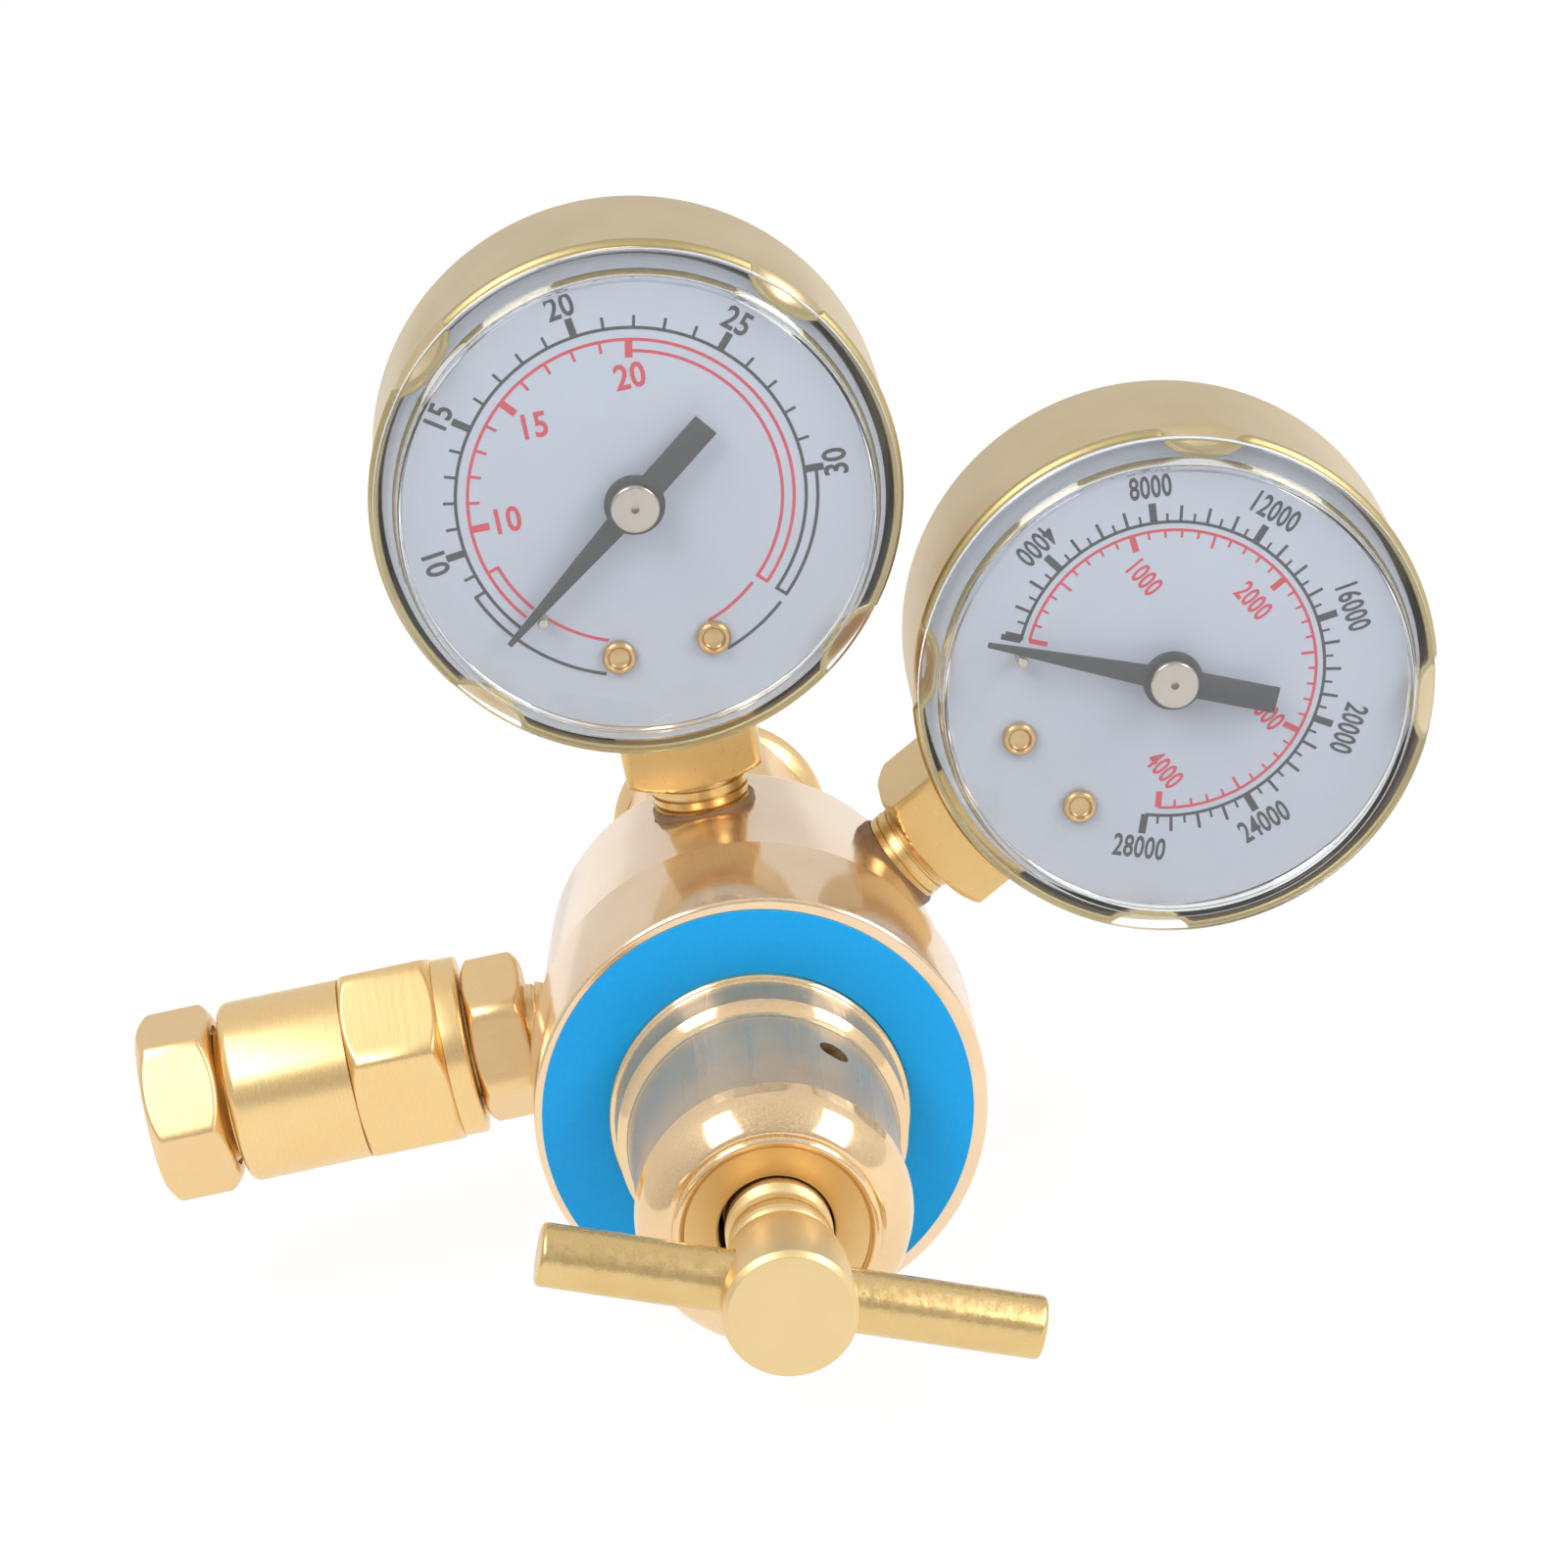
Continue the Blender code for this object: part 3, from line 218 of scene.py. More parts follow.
def metal(name, light, deep, rough, grain, bump, spread=0.06, haze=0.0):
    """Brass or another metal. light and deep are its two tones, rough and spread its roughness, grain
    the scale of the surface marks along each axis and bump their depth in metres. haze is the share of
    the surface with fine scratches, which veil what it reflects."""
    finish, tree, shader = new_finish(name)
    shader.inputs["Metallic"].default_value = 1.0
    place = new_node(tree, "ShaderNodeTexCoord")
    stretch = new_node(tree, "ShaderNodeMapping", Scale=grain)
    marks = new_node(tree, "ShaderNodeTexNoise", Scale=1.0, Detail=6.0)
    cloud = new_node(tree, "ShaderNodeTexNoise", Scale=130.0, Detail=3.0)
    tone = two_tones(tree, light, deep)
    dull = new_node(tree, "ShaderNodeMapRange", To_Min=max(rough - spread, 0.02),
                    To_Max=rough + spread)
    scratches = new_node(tree, "ShaderNodeTexNoise", Scale=30000.0, Detail=0.0)
    veil = new_node(tree, "ShaderNodeMapRange", From_Min=0.66 - 0.32 * haze,
                    From_Max=0.70 - 0.32 * haze, To_Max=0.55 if haze else 0.0)
    worn = new_node(tree, "ShaderNodeMath")
    worn.operation = "MAXIMUM"
    relief = new_node(tree, "ShaderNodeBump", Distance=bump)
    link = tree.links.new
    link(place.outputs["Object"], stretch.inputs["Vector"])
    link(place.outputs["Object"], cloud.inputs["Vector"])
    link(stretch.outputs["Vector"], marks.inputs["Vector"])
    link(cloud.outputs["Fac"], tone.inputs["Factor"])
    link(tone.outputs["Result"], shader.inputs["Base Color"])
    link(marks.outputs["Fac"], dull.inputs["Value"])
    link(place.outputs["Object"], scratches.inputs["Vector"])
    link(scratches.outputs["Fac"], veil.inputs["Value"])
    link(dull.outputs["Result"], worn.inputs[0])
    link(veil.outputs["Result"], worn.inputs[1])
    link(worn.outputs[0], shader.inputs["Roughness"])
    link(marks.outputs["Fac"], relief.inputs["Height"])
    link(relief.outputs["Normal"], shader.inputs["Normal"])
    return finish


polished_brass = metal("polished_brass", (0.95, 0.76, 0.55), (0.88, 0.63, 0.39), 0.12,
                       (60, 2600, 60), 2e-6, 0.03, 0.25)
flange_r, drum_front_r, drum_back_r, boss_r = 22.5, 22.0, 19.8, 11.0
bonnet_thread_r, chamber_r, seat_r, web_r, valve_r, inlet_r = 14.75, 12.6, 4.3, 2.5, 5.5, 7.9
flange_face, flange_end, drum_end, boss_end = 0.6, 17.1, 46.0, 49.5
thread_end, chamber_end, seat_end, web_end, valve_end = 10.6, 16.0, 24.5, 26.0, 40.0
outline = rounded([
    (boss_r, boss_end, 0.6), (boss_r, drum_end, 0.3), (drum_back_r, drum_end, 1.4),
    (drum_front_r, flange_end + 0.4, 0.25), (flange_r, flange_end, 0.2), (flange_r, flange_face, 0.5),
    (bonnet_thread_r, flange_face, 0.2), (bonnet_thread_r, thread_end, 0), (chamber_r, thread_end, 0),
    (chamber_r, chamber_end, 0), (seat_r, chamber_end, 0), (seat_r, seat_end, 0), (web_r, seat_end, 0),
    (web_r, web_end, 0), (valve_r, web_end, 0), (valve_r, valve_end, 0), (inlet_r, valve_end, 0),
    (inlet_r, boss_end, 0.2)])
body_piece = turned("body_turned", outline, back(), polished_brass, 192)
port_r, port_floor, port_mouth, way_r, way_start, way_out = 5.3, 10.0, 26.0, 1.0, 14.0, 11.2
ports = [drill(port_r, port_floor, port_mouth, place)
         for place in (outward("flow"), outward("pressure"), left())]
ways = [drill(way_r, way_start, PORT_DEPTH, place, 24)
        for place in (back(0, way_out), back(-way_out, 0))]
drilled(body_piece, *ports, *ways)
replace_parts(body_piece, "body")
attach(body_piece, "regulator_body")


# Bonnet. A hollow bell of polished brass with a domed nose, screwed into the front of the body, with a
# vent hole drilled through its wall at the upper right. Its wall is brushed along, its nose satin.
def arc(r, z, radius, first, last, steps=10):
    """Outline points of an arc; 0 degrees points away from the axis and 90 to the back."""
    turns = [math.radians(first + (last - first) * k / steps) for k in range(steps + 1)]
    return [(r + radius * math.cos(turn), z + radius * math.sin(turn)) for turn in turns]


def recoat(target, finish, chosen):
    """Gives another material to faces, chosen by the depth and the distance from the bonnet's axis."""
    target.data.materials.append(finish)
    for face in target.data.polygons:
        out = math.hypot(face.center.x - bonnet_x * MM, face.center.z) / MM
        if chosen((face.center.y - LABEL_Y) / MM, out):
            face.material_index = len(target.data.materials) - 1


# From the thread over the collar, the wall, the lip and the dome to the bead, the funnel and the hollow.
outline = [
    (13.9, 9.0), (14.7, 8.2), (14.7, 0.29), (14.86, 0.29), *arc(14.45, -0.15, 0.5, 25, -80, 7),
    *arc(14.62, -0.95, 0.3, 110, 180, 4), (14.3, -5.25), *arc(14.22, -5.3, 0.1, 10, -50, 3),
    *arc(15.7, -7.5, 2.5, 124, 180, 10), (12.85, -23.4), *arc(13.1, -23.75, 0.25, 170, 250, 4),
    *arc(12.65, -24.5, 0.7, 50, -20, 6), *arc(7.95, -24.7, 5.3, -14, -64, 16), (9.95, -29.45),
    *arc(9.45, -29.75, 0.5, 15, -165, 10), (8.8, -29.7), (5.75, -29.0), (5.55, -28.75), (5.5, -22.6),
    (9.9, -22.6), (11.4, -21.1), (12.4, 9.0)]
bonnet_x = -0.2
bonnet_brass = metal("bonnet_brass", (0.93, 0.71, 0.45), (0.84, 0.60, 0.34), 0.09,
                     (60, 3600, 60), 2e-6, 0.02, 0.3)
wall_brass = metal("wall_brass", (0.82, 0.63, 0.44), (0.66, 0.48, 0.31), 0.3,
                   (420, 14, 420), 1.2e-4, 0.2, 0.6)
nose_brass = metal("nose_brass", (0.90, 0.68, 0.35), (0.82, 0.60, 0.28), 0.3,
                   (60, 3600, 60), 2e-6, 0.05, 0.7)
bonnet_piece = turned("bonnet_bell", outline, back(bonnet_x), bonnet_brass, 192)
vent_turn, vent_depth, vent_r, vent_from, vent_to = 40.7, -12.2, 1.6, 8.0, 17.0
vent = Matrix.Rotation(math.radians(vent_turn), 4, "Y")
vent = vent @ Matrix.Translation((0, LABEL_Y + vent_depth * MM, 0))
drilled(bonnet_piece, drill(vent_r, vent_from, vent_to, vent))
recoat(bonnet_piece, wall_brass, lambda depth, out: -23.5 < depth < -8.2 and out > 12.7
       or -5.2 < depth < -1.3 and out > 14.2)
recoat(bonnet_piece, nose_brass, lambda depth, out: depth < -28.5 and out < 8.85)
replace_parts(bonnet_piece, "bonnet")
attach(bonnet_piece, "regulator_body")


# Label ring. A thin blue ring, stuck on the front face of the body round the bonnet. Its outer edge was
# stuck on a little off the middle.
def coat(name, light, deep, rough, size, bump=0.0, shine=0.5):
    """Paint, print, plastic or rubber with a fine uneven tone. size is the scale of its specks, bump
    their depth in metres and shine the strength of the gloss."""
    finish, tree, shader = new_finish(name)
    shader.inputs["Roughness"].default_value = rough
    shader.inputs["Specular IOR Level"].default_value = shine
    place = new_node(tree, "ShaderNodeTexCoord")
    speck = new_node(tree, "ShaderNodeTexNoise", Scale=size, Detail=5.0)
    tone = two_tones(tree, light, deep)
    relief = new_node(tree, "ShaderNodeBump", Distance=bump)
    link = tree.links.new
    link(place.outputs["Object"], speck.inputs["Vector"])
    link(speck.outputs["Fac"], tone.inputs["Factor"])
    link(tone.outputs["Result"], shader.inputs["Base Color"])
    link(speck.outputs["Fac"], relief.inputs["Height"])
    link(relief.outputs["Normal"], shader.inputs["Normal"])
    return finish


label_blue = coat("label_blue", (0.007, 0.35, 0.78), (0.004, 0.30, 0.70), 0.35, 2500, 3e-6, 0.22)
label_out, label_in, label_front, label_back, label_shift = 21.4, 14.76, 0.3, 0.55, -0.35
outline = rounded([(label_out, label_back, 0.05), (label_out, label_front, 0.08),
                   (label_in, label_front, 0.08), (label_in, label_back, 0.05)], 2)
label_piece = turned("label", outline, back(), label_blue, 192,
                     lambda a, r, z: r + label_shift * math.cos(a) if r > 18 else r)
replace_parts(label_piece, "label_ring")
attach(label_piece, "regulator_body")


# Adjusting screw and cross bar. A satin brass screw with a fine thread and a plain round head; the bar
# is a pressed-in brass rod, scuffed by use.
def group_inputs(tree, sockets):
    """Adds named inputs and a geometry output to a node group, and returns its end nodes."""
    for label, kind in sockets:
        tree.interface.new_socket(label, in_out="INPUT", socket_type="NodeSocket" + kind)
    tree.interface.new_socket("Geometry", in_out="OUTPUT", socket_type="NodeSocketGeometry")
    return tree.nodes.new("NodeGroupInput"), tree.nodes.new("NodeGroupOutput")


def grown(name, tree, values, place):
    """A plain piece from a node group with these input values."""
    made = bpy.data.objects.new(name, bpy.data.meshes.new(name))
    bpy.context.scene.collection.objects.link(made)
    grow = made.modifiers.new("grow", "NODES")
    grow.node_group = tree
    for socket in tree.interface.items_tree:
        if socket.in_out == "INPUT":
            grow[socket.identifier] = values[socket.name]
    mesh = evaluated_mesh(made)
    bpy.data.objects.remove(made, do_unlink=True)
    mesh.transform(place)
    outward_faces(mesh)
    return piece(name, mesh, values["Finish"])


def helix_group():
    """A wire or a thread ridge that climbs along local Z."""
    tree = bpy.data.node_groups.new("helix", "GeometryNodeTree")
    given, result = group_inputs(tree, (
        ("Turns", "Float"), ("Radius", "Float"), ("Height", "Float"), ("Wire", "Float"),
        ("Sides", "Int"), ("Finish", "Material")))
    path = new_node(tree, "GeometryNodeCurveSpiral", Resolution=64)
    wire = tree.nodes.new("GeometryNodeCurvePrimitiveCircle")
    sweep = new_node(tree, "GeometryNodeCurveToMesh", Fill_Caps=True)
    real = tree.nodes.new("GeometryNodeRealizeInstances")
    paint = tree.nodes.new("GeometryNodeSetMaterial")
    link = tree.links.new
    link(given.outputs["Turns"], path.inputs["Rotations"])
    link(given.outputs["Radius"], path.inputs["Start Radius"])
    link(given.outputs["Radius"], path.inputs["End Radius"])
    link(given.outputs["Height"], path.inputs["Height"])
    link(given.outputs["Sides"], wire.inputs["Resolution"])
    link(given.outputs["Wire"], wire.inputs["Radius"])
    link(path.outputs["Curve"], sweep.inputs["Curve"])
    link(wire.outputs["Curve"], sweep.inputs["Profile Curve"])
    link(sweep.outputs["Mesh"], real.inputs["Geometry"])
    link(real.outputs["Geometry"], paint.inputs["Geometry"])
    link(given.outputs["Finish"], paint.inputs["Material"])
    link(paint.outputs["Geometry"], result.inputs["Geometry"])
    return tree


helix = helix_group()


def thread(name, crest, pitch, low, high, place, finish):
    """The ridge of a screw thread, half sunk in the shank under it."""
    ridge = pitch / 2
    values = {"Turns": (high - low) / pitch, "Radius": (crest - ridge) * MM,
              "Height": (high - low) * MM, "Wire": ridge * MM, "Sides": 4, "Finish": finish}
    return grown(name, helix, values, place @ Matrix.Translation((0, 0, low * MM)))


screw_brass = metal("screw_brass", (0.90, 0.69, 0.38), (0.82, 0.61, 0.30), 0.36,
                    (2400, 90, 2400), 6e-6, 0.08, 0.4)
bar_brass = metal("bar_brass", (0.86, 0.64, 0.31), (0.68, 0.46, 0.18), 0.27,
                  (900, 900, 900), 5e-5, 0.14, 0.1)
crest_r, screw_pitch, thread_front, thread_back, screw_tip = 5.15, 1.0, -36.8, -17.0, -15.0
head_r, head_front, head_chamfer = 6.35, -48.7, 0.55
outline = rounded([
    (0, screw_tip, 0), (2.6, screw_tip, 0.3), (4.5, thread_back, 0.4), (4.6, -36.7, 0.1),
    (5.3, -37.1, 0.1), (5.6, -37.3, 0.2), (6.0, -39.5, 0.8), (head_r, -45.0, 0.8),
    (head_r, head_front + 0.5, 0.1), (head_r - head_chamfer, head_front, 0.1), (0, head_front, 0)])
bar_turn, bar_depth, bar_r, bar_right, bar_left = 22.0, -43.0, 3.0, 24.2, -23.4
bar_play, bar_hole = 0.05, 9.0
across = Matrix.Translation((0, LABEL_Y + bar_depth * MM, 0))
across = across @ Matrix.Rotation(math.radians(90 + bar_turn), 4, "Y")
screw_piece = turned("screw", outline, back(), screw_brass, 96)
drilled(screw_piece, drill(bar_r + bar_play, -bar_hole, bar_hole, across))
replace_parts(screw_piece, "adjusting_screw")
screw_thread = thread("screw_thread", crest_r, screw_pitch, thread_front, thread_back, back(),
                      screw_brass)
outline = rounded([(0, bar_right, 0), (bar_r, bar_right, 0.6), (bar_r, bar_left, 0.6),
                   (0, bar_left, 0)])
bar_piece = turned("bar", outline, across, bar_brass, 64)
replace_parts(bar_piece, "tee_bar")
for made in (screw_piece, screw_thread, bar_piece):
    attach(made, "adjusting_screw")


# Range spring, diaphragm and valve. Steel springs, a rubber diaphragm and turned brass and steel parts
# stand inside the bonnet and the body; the vent hole shows the range spring.
spring_steel = metal("spring_steel", (0.55, 0.54, 0.53), (0.38, 0.37, 0.36), 0.35,
                     (900, 900, 900), 5e-6)
inner_brass = metal("inner_brass", (0.86, 0.66, 0.33), (0.78, 0.56, 0.25), 0.35,
                    (1200, 1200, 1200), 5e-6)
bronze = metal("sintered_bronze", (0.55, 0.38, 0.2), (0.35, 0.22, 0.1), 0.7,
               (2200, 2200, 2200), 4e-5)
rubber = coat("rubber", (0.035, 0.035, 0.035), (0.02, 0.02, 0.02), 0.7, 1500, 1e-5)
for finish, names in ((spring_steel, ("spring_button", "valve_nozzle", "valve_poppet")),
                      (inner_brass, ("diaphragm_plate", "flow_orifice")),
                      (rubber, ("diaphragm", "outlet_washer")), (bronze, ("inlet_filter",))):
    for node in names:
        nodes[node].data.materials[0] = finish


def spring(name, radius, wire, turns, low, high):
    """A coil spring on the body's axis between two seats, by depth."""
    values = {"Turns": turns, "Radius": radius * MM, "Height": (high - low - 2 * wire) * MM,
              "Wire": wire * MM, "Sides": 14, "Finish": spring_steel}
    made = grown(name, helix, values, back() @ Matrix.Translation((0, 0, (low + wire) * MM)))
    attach(made, "regulator_body")
    return made


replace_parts(spring("range_spring", 7.9, 1.1, 4.5, -11.4, 6.5), "main_spring")
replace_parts(spring("closing_spring", 2.6, 0.4, 4.0, 31.6, 40.0), "poppet_spring")


# Inlet nipple and its nut. A satin brass nipple with a round nose for the cylinder valve, and a captive
# hexagon nut with an outside thread that turns freely on it.
def milled(flats, count, turn, low, high, blend=0.35):
    """The radius left by flats milled round a turned blank between two heights."""
    turns = [math.radians(turn) + 2 * math.pi * k / count for k in range(count)]

    def shape(angle, r, z):
        if not low <= z <= high:
            return r
        cuts = sorted(flats / 2 / max(math.cos(angle - flat), 1e-3) for flat in turns)[:2] + [r]
        cuts.sort()
        near = max(blend - (cuts[1] - cuts[0]), 0) / blend
        return cuts[0] - near * near * blend / 4
    return shape


def nut_rows(flats, low, high, drop, run, trim=0.2, bow=1.5):
    """The outer rows of a nut blank from its high end to its low end, with both chamfers."""
    tip = flats / 2 / math.cos(math.pi / 6) - trim
    rows = [(tip - drop * (k / 8) ** bow, run * k / 8) for k in range(9)]
    return [(r, high - run + z) for r, z in reversed(rows)] + [(r, low + run - z) for r, z in rows]


satin_brass = metal("satin_brass", (0.95, 0.70, 0.38), (0.87, 0.60, 0.29), 0.3,
                    (1900, 1900, 1900), 9e-6, 0.07, 0.2)
bore_r, stem_r, collar_r, sunk_r, filter_r = 1.6, 7.0, 9.3, 7.6, 4.3
outline = rounded([
    (bore_r, 93.0, 0.2), (4.6, 92.4, 1.2), (7.4, 88.8, 1.8), (7.9, 83.5, 0.1), (collar_r, 83.5, 0.3),
    (collar_r, 80.0, 0.3), (stem_r, 80.0, 0.2), (stem_r, 52.8, 0.2), (collar_r, 52.5, 0.3),
    (collar_r, 49.8, 0.3), (sunk_r, 49.8, 0), (sunk_r, 40.3, 0), (filter_r, 40.3, 0),
    (filter_r, 48.6, 0), (bore_r, 48.6, 0)])
nipple_piece = turned("nipple", outline, back(), satin_brass, 128)
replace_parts(nipple_piece, "inlet_nipple")
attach(nipple_piece, "regulator_body")
nut_flats, nut_front, hexagon_end, nut_end, nut_crest, nut_pitch = 22.4, 66.0, 79.0, 86.5, 12.0, 1.7
nut_bore, nut_step, nut_recess, root_r, hair = 7.3, 79.7, 9.6, 11.15, 0.01
outline = [(11.0, nut_end), (root_r, nut_end - 0.5), (root_r, hexagon_end)]
outline += nut_rows(nut_flats, nut_front, hexagon_end, 1.5, 1.2, 0.25, 1.6)
outline += [(nut_bore, nut_front), (nut_bore, nut_step), (nut_recess, nut_step), (nut_recess, nut_end)]
nut_shape = milled(nut_flats, 6, 30, nut_front - hair, hexagon_end + hair)
nut_piece = turned("inlet_union_nut", outline, back(), satin_brass, 192,
                   lambda a, r, z: nut_shape(a, r, z) if r > 10 else r)
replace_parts(nut_piece, "inlet_nut")
nut_thread = thread("inlet_union_thread", nut_crest, nut_pitch, hexagon_end + 0.9, nut_end - 0.9,
                    back(), satin_brass)
for made in (nut_piece, nut_thread):
    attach(made, "inlet_nut")


# Outlet. A small hexagon adapter in the left port, a connector with collar, hexagon and smooth barrel
# that holds the flow orifice, and a hexagon hose nut, all of satin brass.
def hexed(name, outline, flats, turn, low, high, finish):
    """A piece on the outlet's axis with a hexagon between two heights, turned by some degrees."""
    cut = milled(flats, 6, turn, low - hair, high + hair)
    return turned(name, outline, left(), finish, 192,
                  lambda a, r, z: cut(a, r, z) if r > flats * 0.42 else r)


turned_brass = metal("turned_brass", (0.96, 0.71, 0.35), (0.90, 0.62, 0.28), 0.27,
                     (2600, 60, 60), 3e-6, 0.06, 0.2)
flats, low, high, end = 15.4, 22.5, 28.6, 37.5
outline = [(4.9, end), (5.5, end - 0.6), (5.5, high)] + nut_rows(flats, low, high, 1.3, 0.9)
outline += [(4.6, low), (4.6, 10.8), (2.0, 10.8), (2.0, end)]
adapter_piece = hexed("adapter", outline, flats, -18, low, high, satin_brass)
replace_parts(adapter_piece, "outlet_adapter")
adapter_thread = thread("adapter_thread", 5.0, 1.0, 12.0, low - 0.1, left(), satin_brass)
flats, low, high, end, barrel_r = 19.0, 31.3, 41.3, 59.4, 9.45
hex_low, hex_high = 31.31, 41.29
outline = [(6.2, end), (6.5, end - 0.3), (6.5, 54.2), *arc(8.25, 53.0, 1.2, 90, 0, 8), (barrel_r, high)]
outline += nut_rows(flats, low, high, 1.5, 1.1, 0.25)
outline += rounded([(9.3, low, 0), (9.3, 28.9, 0.4), (5.8, 28.9, 0)], 4)
outline += [(5.8, 37.8), (3.0, 37.8), (3.0, 46.7), (5.0, 46.7), (5.0, end)]
connector_piece = hexed("connector", outline, flats, 22, hex_low, hex_high, turned_brass)
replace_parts(connector_piece, "outlet_connector")
hose_thread = thread("hose_thread", 7.1, 1.1, 54.8, 59.0, left(), satin_brass)
for made in (adapter_piece, adapter_thread, connector_piece, hose_thread):
    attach(made, "regulator_body")
flats, low, high, washer_seat = 17.5, 55.0, 62.8, 60.9
outline = nut_rows(flats, low, high, 1.6, 1.3, 0.1)
outline += [(7.4, low), (7.4, washer_seat), (5.0, washer_seat), (5.0, high)]
hose_nut = hexed("hose_nut", outline, flats, 0, low, high, satin_brass)
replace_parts(hose_nut, "outlet_nut")
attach(hose_nut, "outlet_nut")


# Gauge sockets. Each gauge stands on a milled square brass block with a threaded stem, screwed into the
# body with sealant; the block goes into the case and carries the movement.
socket_brass = metal("socket_brass", (0.84, 0.62, 0.30), (0.74, 0.51, 0.21), 0.3,
                     (1500, 1500, 1500), 9e-6, 0.08, 0.2)
sealant = coat("sealant", (0.30, 0.17, 0.08), (0.20, 0.11, 0.05), 0.5, 2500, 3e-5)
block_flats, block_low, block_high, block_top, corner_r = 14.0, 25.0, 33.6, 40.0, 9.75
bore_r, tenon_r, stem_r, stem_end = 1.4, 6.2, 4.6, 11.4
rows = [(corner_r - 2.2 * (k / 8) ** 1.4, block_low + 1.4 - 1.4 * k / 8) for k in range(9)]
for gauge in GAUGE_TURNS:
    stem = outward(gauge) @ Matrix.Translation((0, 0, -GAUGE_SUNK[gauge] * MM))
    outline = rounded([(bore_r, block_top, 0), (tenon_r, block_top, 0.4), (tenon_r, block_high, 0)], 3)
    outline += [(corner_r, block_high)] + rows
    outline += [(stem_r, block_low), (stem_r, stem_end), (bore_r, stem_end)]
    square = milled(block_flats, 4, 0, block_low - 0.1, block_high + 0.1, 0.25)
    block = turned(gauge + "_block", outline, stem, socket_brass, 192,
                   lambda a, r, z: square(a, r, z) if r > 6.9 else r)
    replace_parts(block, gauge + "_socket")
    stem_thread = thread(gauge + "_stem_thread", 5.1, 1.0, 12.0, block_low - 0.1, stem, socket_brass)
    outline = rounded([(5.0, 21.3, 0.1), (5.3, 20.9, 0.1), (5.25, 18.5, 0), (stem_r, 18.5, 0),
                       (stem_r, 21.3, 0)], 3)
    bead = turned(
        gauge + "_sealant", outline, outward(gauge), sealant, 144,
        lambda a, r, z: r + 0.06 * math.sin(5 * a + 1) + 0.04 * math.sin(13 * a) if r > 4.9 else r)
    for made in (block, stem_thread, bead):
        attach(made, "regulator_body")


# Gauge cases. Deep cups pressed from lacquered metal with a rolled lip, which is a little rougher and
# painted a darker olive: painted shade. The lip and the wall behind it are crimped inward at four
# places, against the back of the window.
CASE_SHIFT = {"flow": (0.25, 0.15), "pressure": (0.25, -0.65)}
CRIMP_TURNS = {"flow": math.radians(1.6), "pressure": 0.0}
gauge_out, case_r, case_inner, case_back, painted_lip_depth = 56.9, 26.3, 25.6, 46.4, 26.3
crimp_full, crimp_end, crimp_reach, crimp_curve = 25.6, 28.9, 1.9, 6.2


def gauge_axis(gauge):
    """Local Z runs to the back through the middle of a gauge."""
    middle = gauge_out - GAUGE_SUNK[gauge]
    return Matrix.Rotation(math.radians(GAUGE_TURNS[gauge]), 4, "Y") @ back(0, middle)


def crimped(spot, angle, r, z):
    """The wall's radius at the four crimps, which are deepest at the lip and run out to the back."""
    if z > crimp_end or r < 20:
        return r
    middle = case_inner - crimp_reach + crimp_curve
    away = (angle - spot) % (math.pi / 2) - math.pi / 4
    side = middle * math.sin(away)
    if abs(side) > crimp_curve:
        return r
    depth = max(case_inner - middle * math.cos(away) + math.sqrt(crimp_curve ** 2 - side ** 2), 0.0)
    run = min((crimp_end - z) / (crimp_end - crimp_full), 1.0)
    flat = min(depth / 0.6, 1.0)
    plain = min(r, case_r) if r > case_inner + 0.2 else r
    return r + (plain - r) * flat - depth * run * run * (3 - 2 * run)


def case_place(gauge):
    """The cup and the window sit a little off the dial's middle."""
    x, z = CASE_SHIFT[gauge]
    return Matrix.Translation((x * MM, 0, z * MM)) @ gauge_axis(gauge)


case_brass = metal("pressed_case", (0.74, 0.60, 0.37), (0.64, 0.50, 0.28), 0.32,
                   (500, 2400, 500), 3e-6, 0.05, 0.3)
# The lip's darker olive colour is painted shade; only its higher roughness is its own.
lip_painted_shade = metal("case_lip_painted_shade", (0.62, 0.50, 0.26), (0.46, 0.37, 0.17), 0.36,
                  (900, 900, 900), 6e-6, 0.08, 0.3)
rows = [crimp_end - 0.3 * k for k in range(8)]
edge_r, inner_edge_r, case_floor = 2.4, 1.8, 0.7
outline = [(0, case_back)] + arc(case_r - edge_r, case_back - edge_r, edge_r, 90, 0)
outline += [(case_r, z) for z in rows]
outline += [(case_r, 26.5), (26.42, 26.2), (26.62, 26.0), (26.7, 25.7), (26.7, 25.4), (26.6, 25.1),
            (26.35, 24.85), (26.05, 24.75), (25.75, 24.75), (case_inner, 24.9), (case_inner, 25.3),
            (case_inner, 26.0)]
outline += [(case_inner, z) for z in reversed(rows)]
outline += arc(case_inner - inner_edge_r, case_back - case_floor - inner_edge_r, inner_edge_r, 0, 90)
outline += [(0, case_back - case_floor)]
for gauge in GAUGE_TURNS:
    spot = CRIMP_TURNS[gauge]
    case = turned(gauge + "_cup", outline, case_place(gauge), case_brass, 360,
                  lambda a, r, z: crimped(spot, a, r, z))
    # Faces in front of that depth take the lip's painted shade.
    recoat(case, lip_painted_shade, lambda depth, out: depth < painted_lip_depth)
    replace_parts(case, gauge + "_case")
    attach(case, "regulator_body")


# Dials. White printed plates with plain numbers: the flow dial has a black and a red flow scale with a
# boxed range at each end, the pressure dial a black outer and a red inner scale.
PRINT_SHIFT = {"flow": (-0.25, 0.1), "pressure": (-0.2, 0.25)}
dial_front, dial_back, dial_r, dial_hole, ink_thick = 26.8, 27.4, 24.8, 1.3, 0.03


def on_dial(gauge):
    """Local X to the right, Y away from the stem and Z to the viewer, on the face of a dial."""
    place = Matrix.Rotation(math.radians(GAUGE_TURNS[gauge]), 4, "Y")
    middle = gauge_out - GAUGE_SUNK[gauge]
    place = place @ Matrix.Translation((0, LABEL_Y + dial_front * MM, middle * MM))
    return place @ Matrix.Rotation(math.pi / 2, 4, "X")


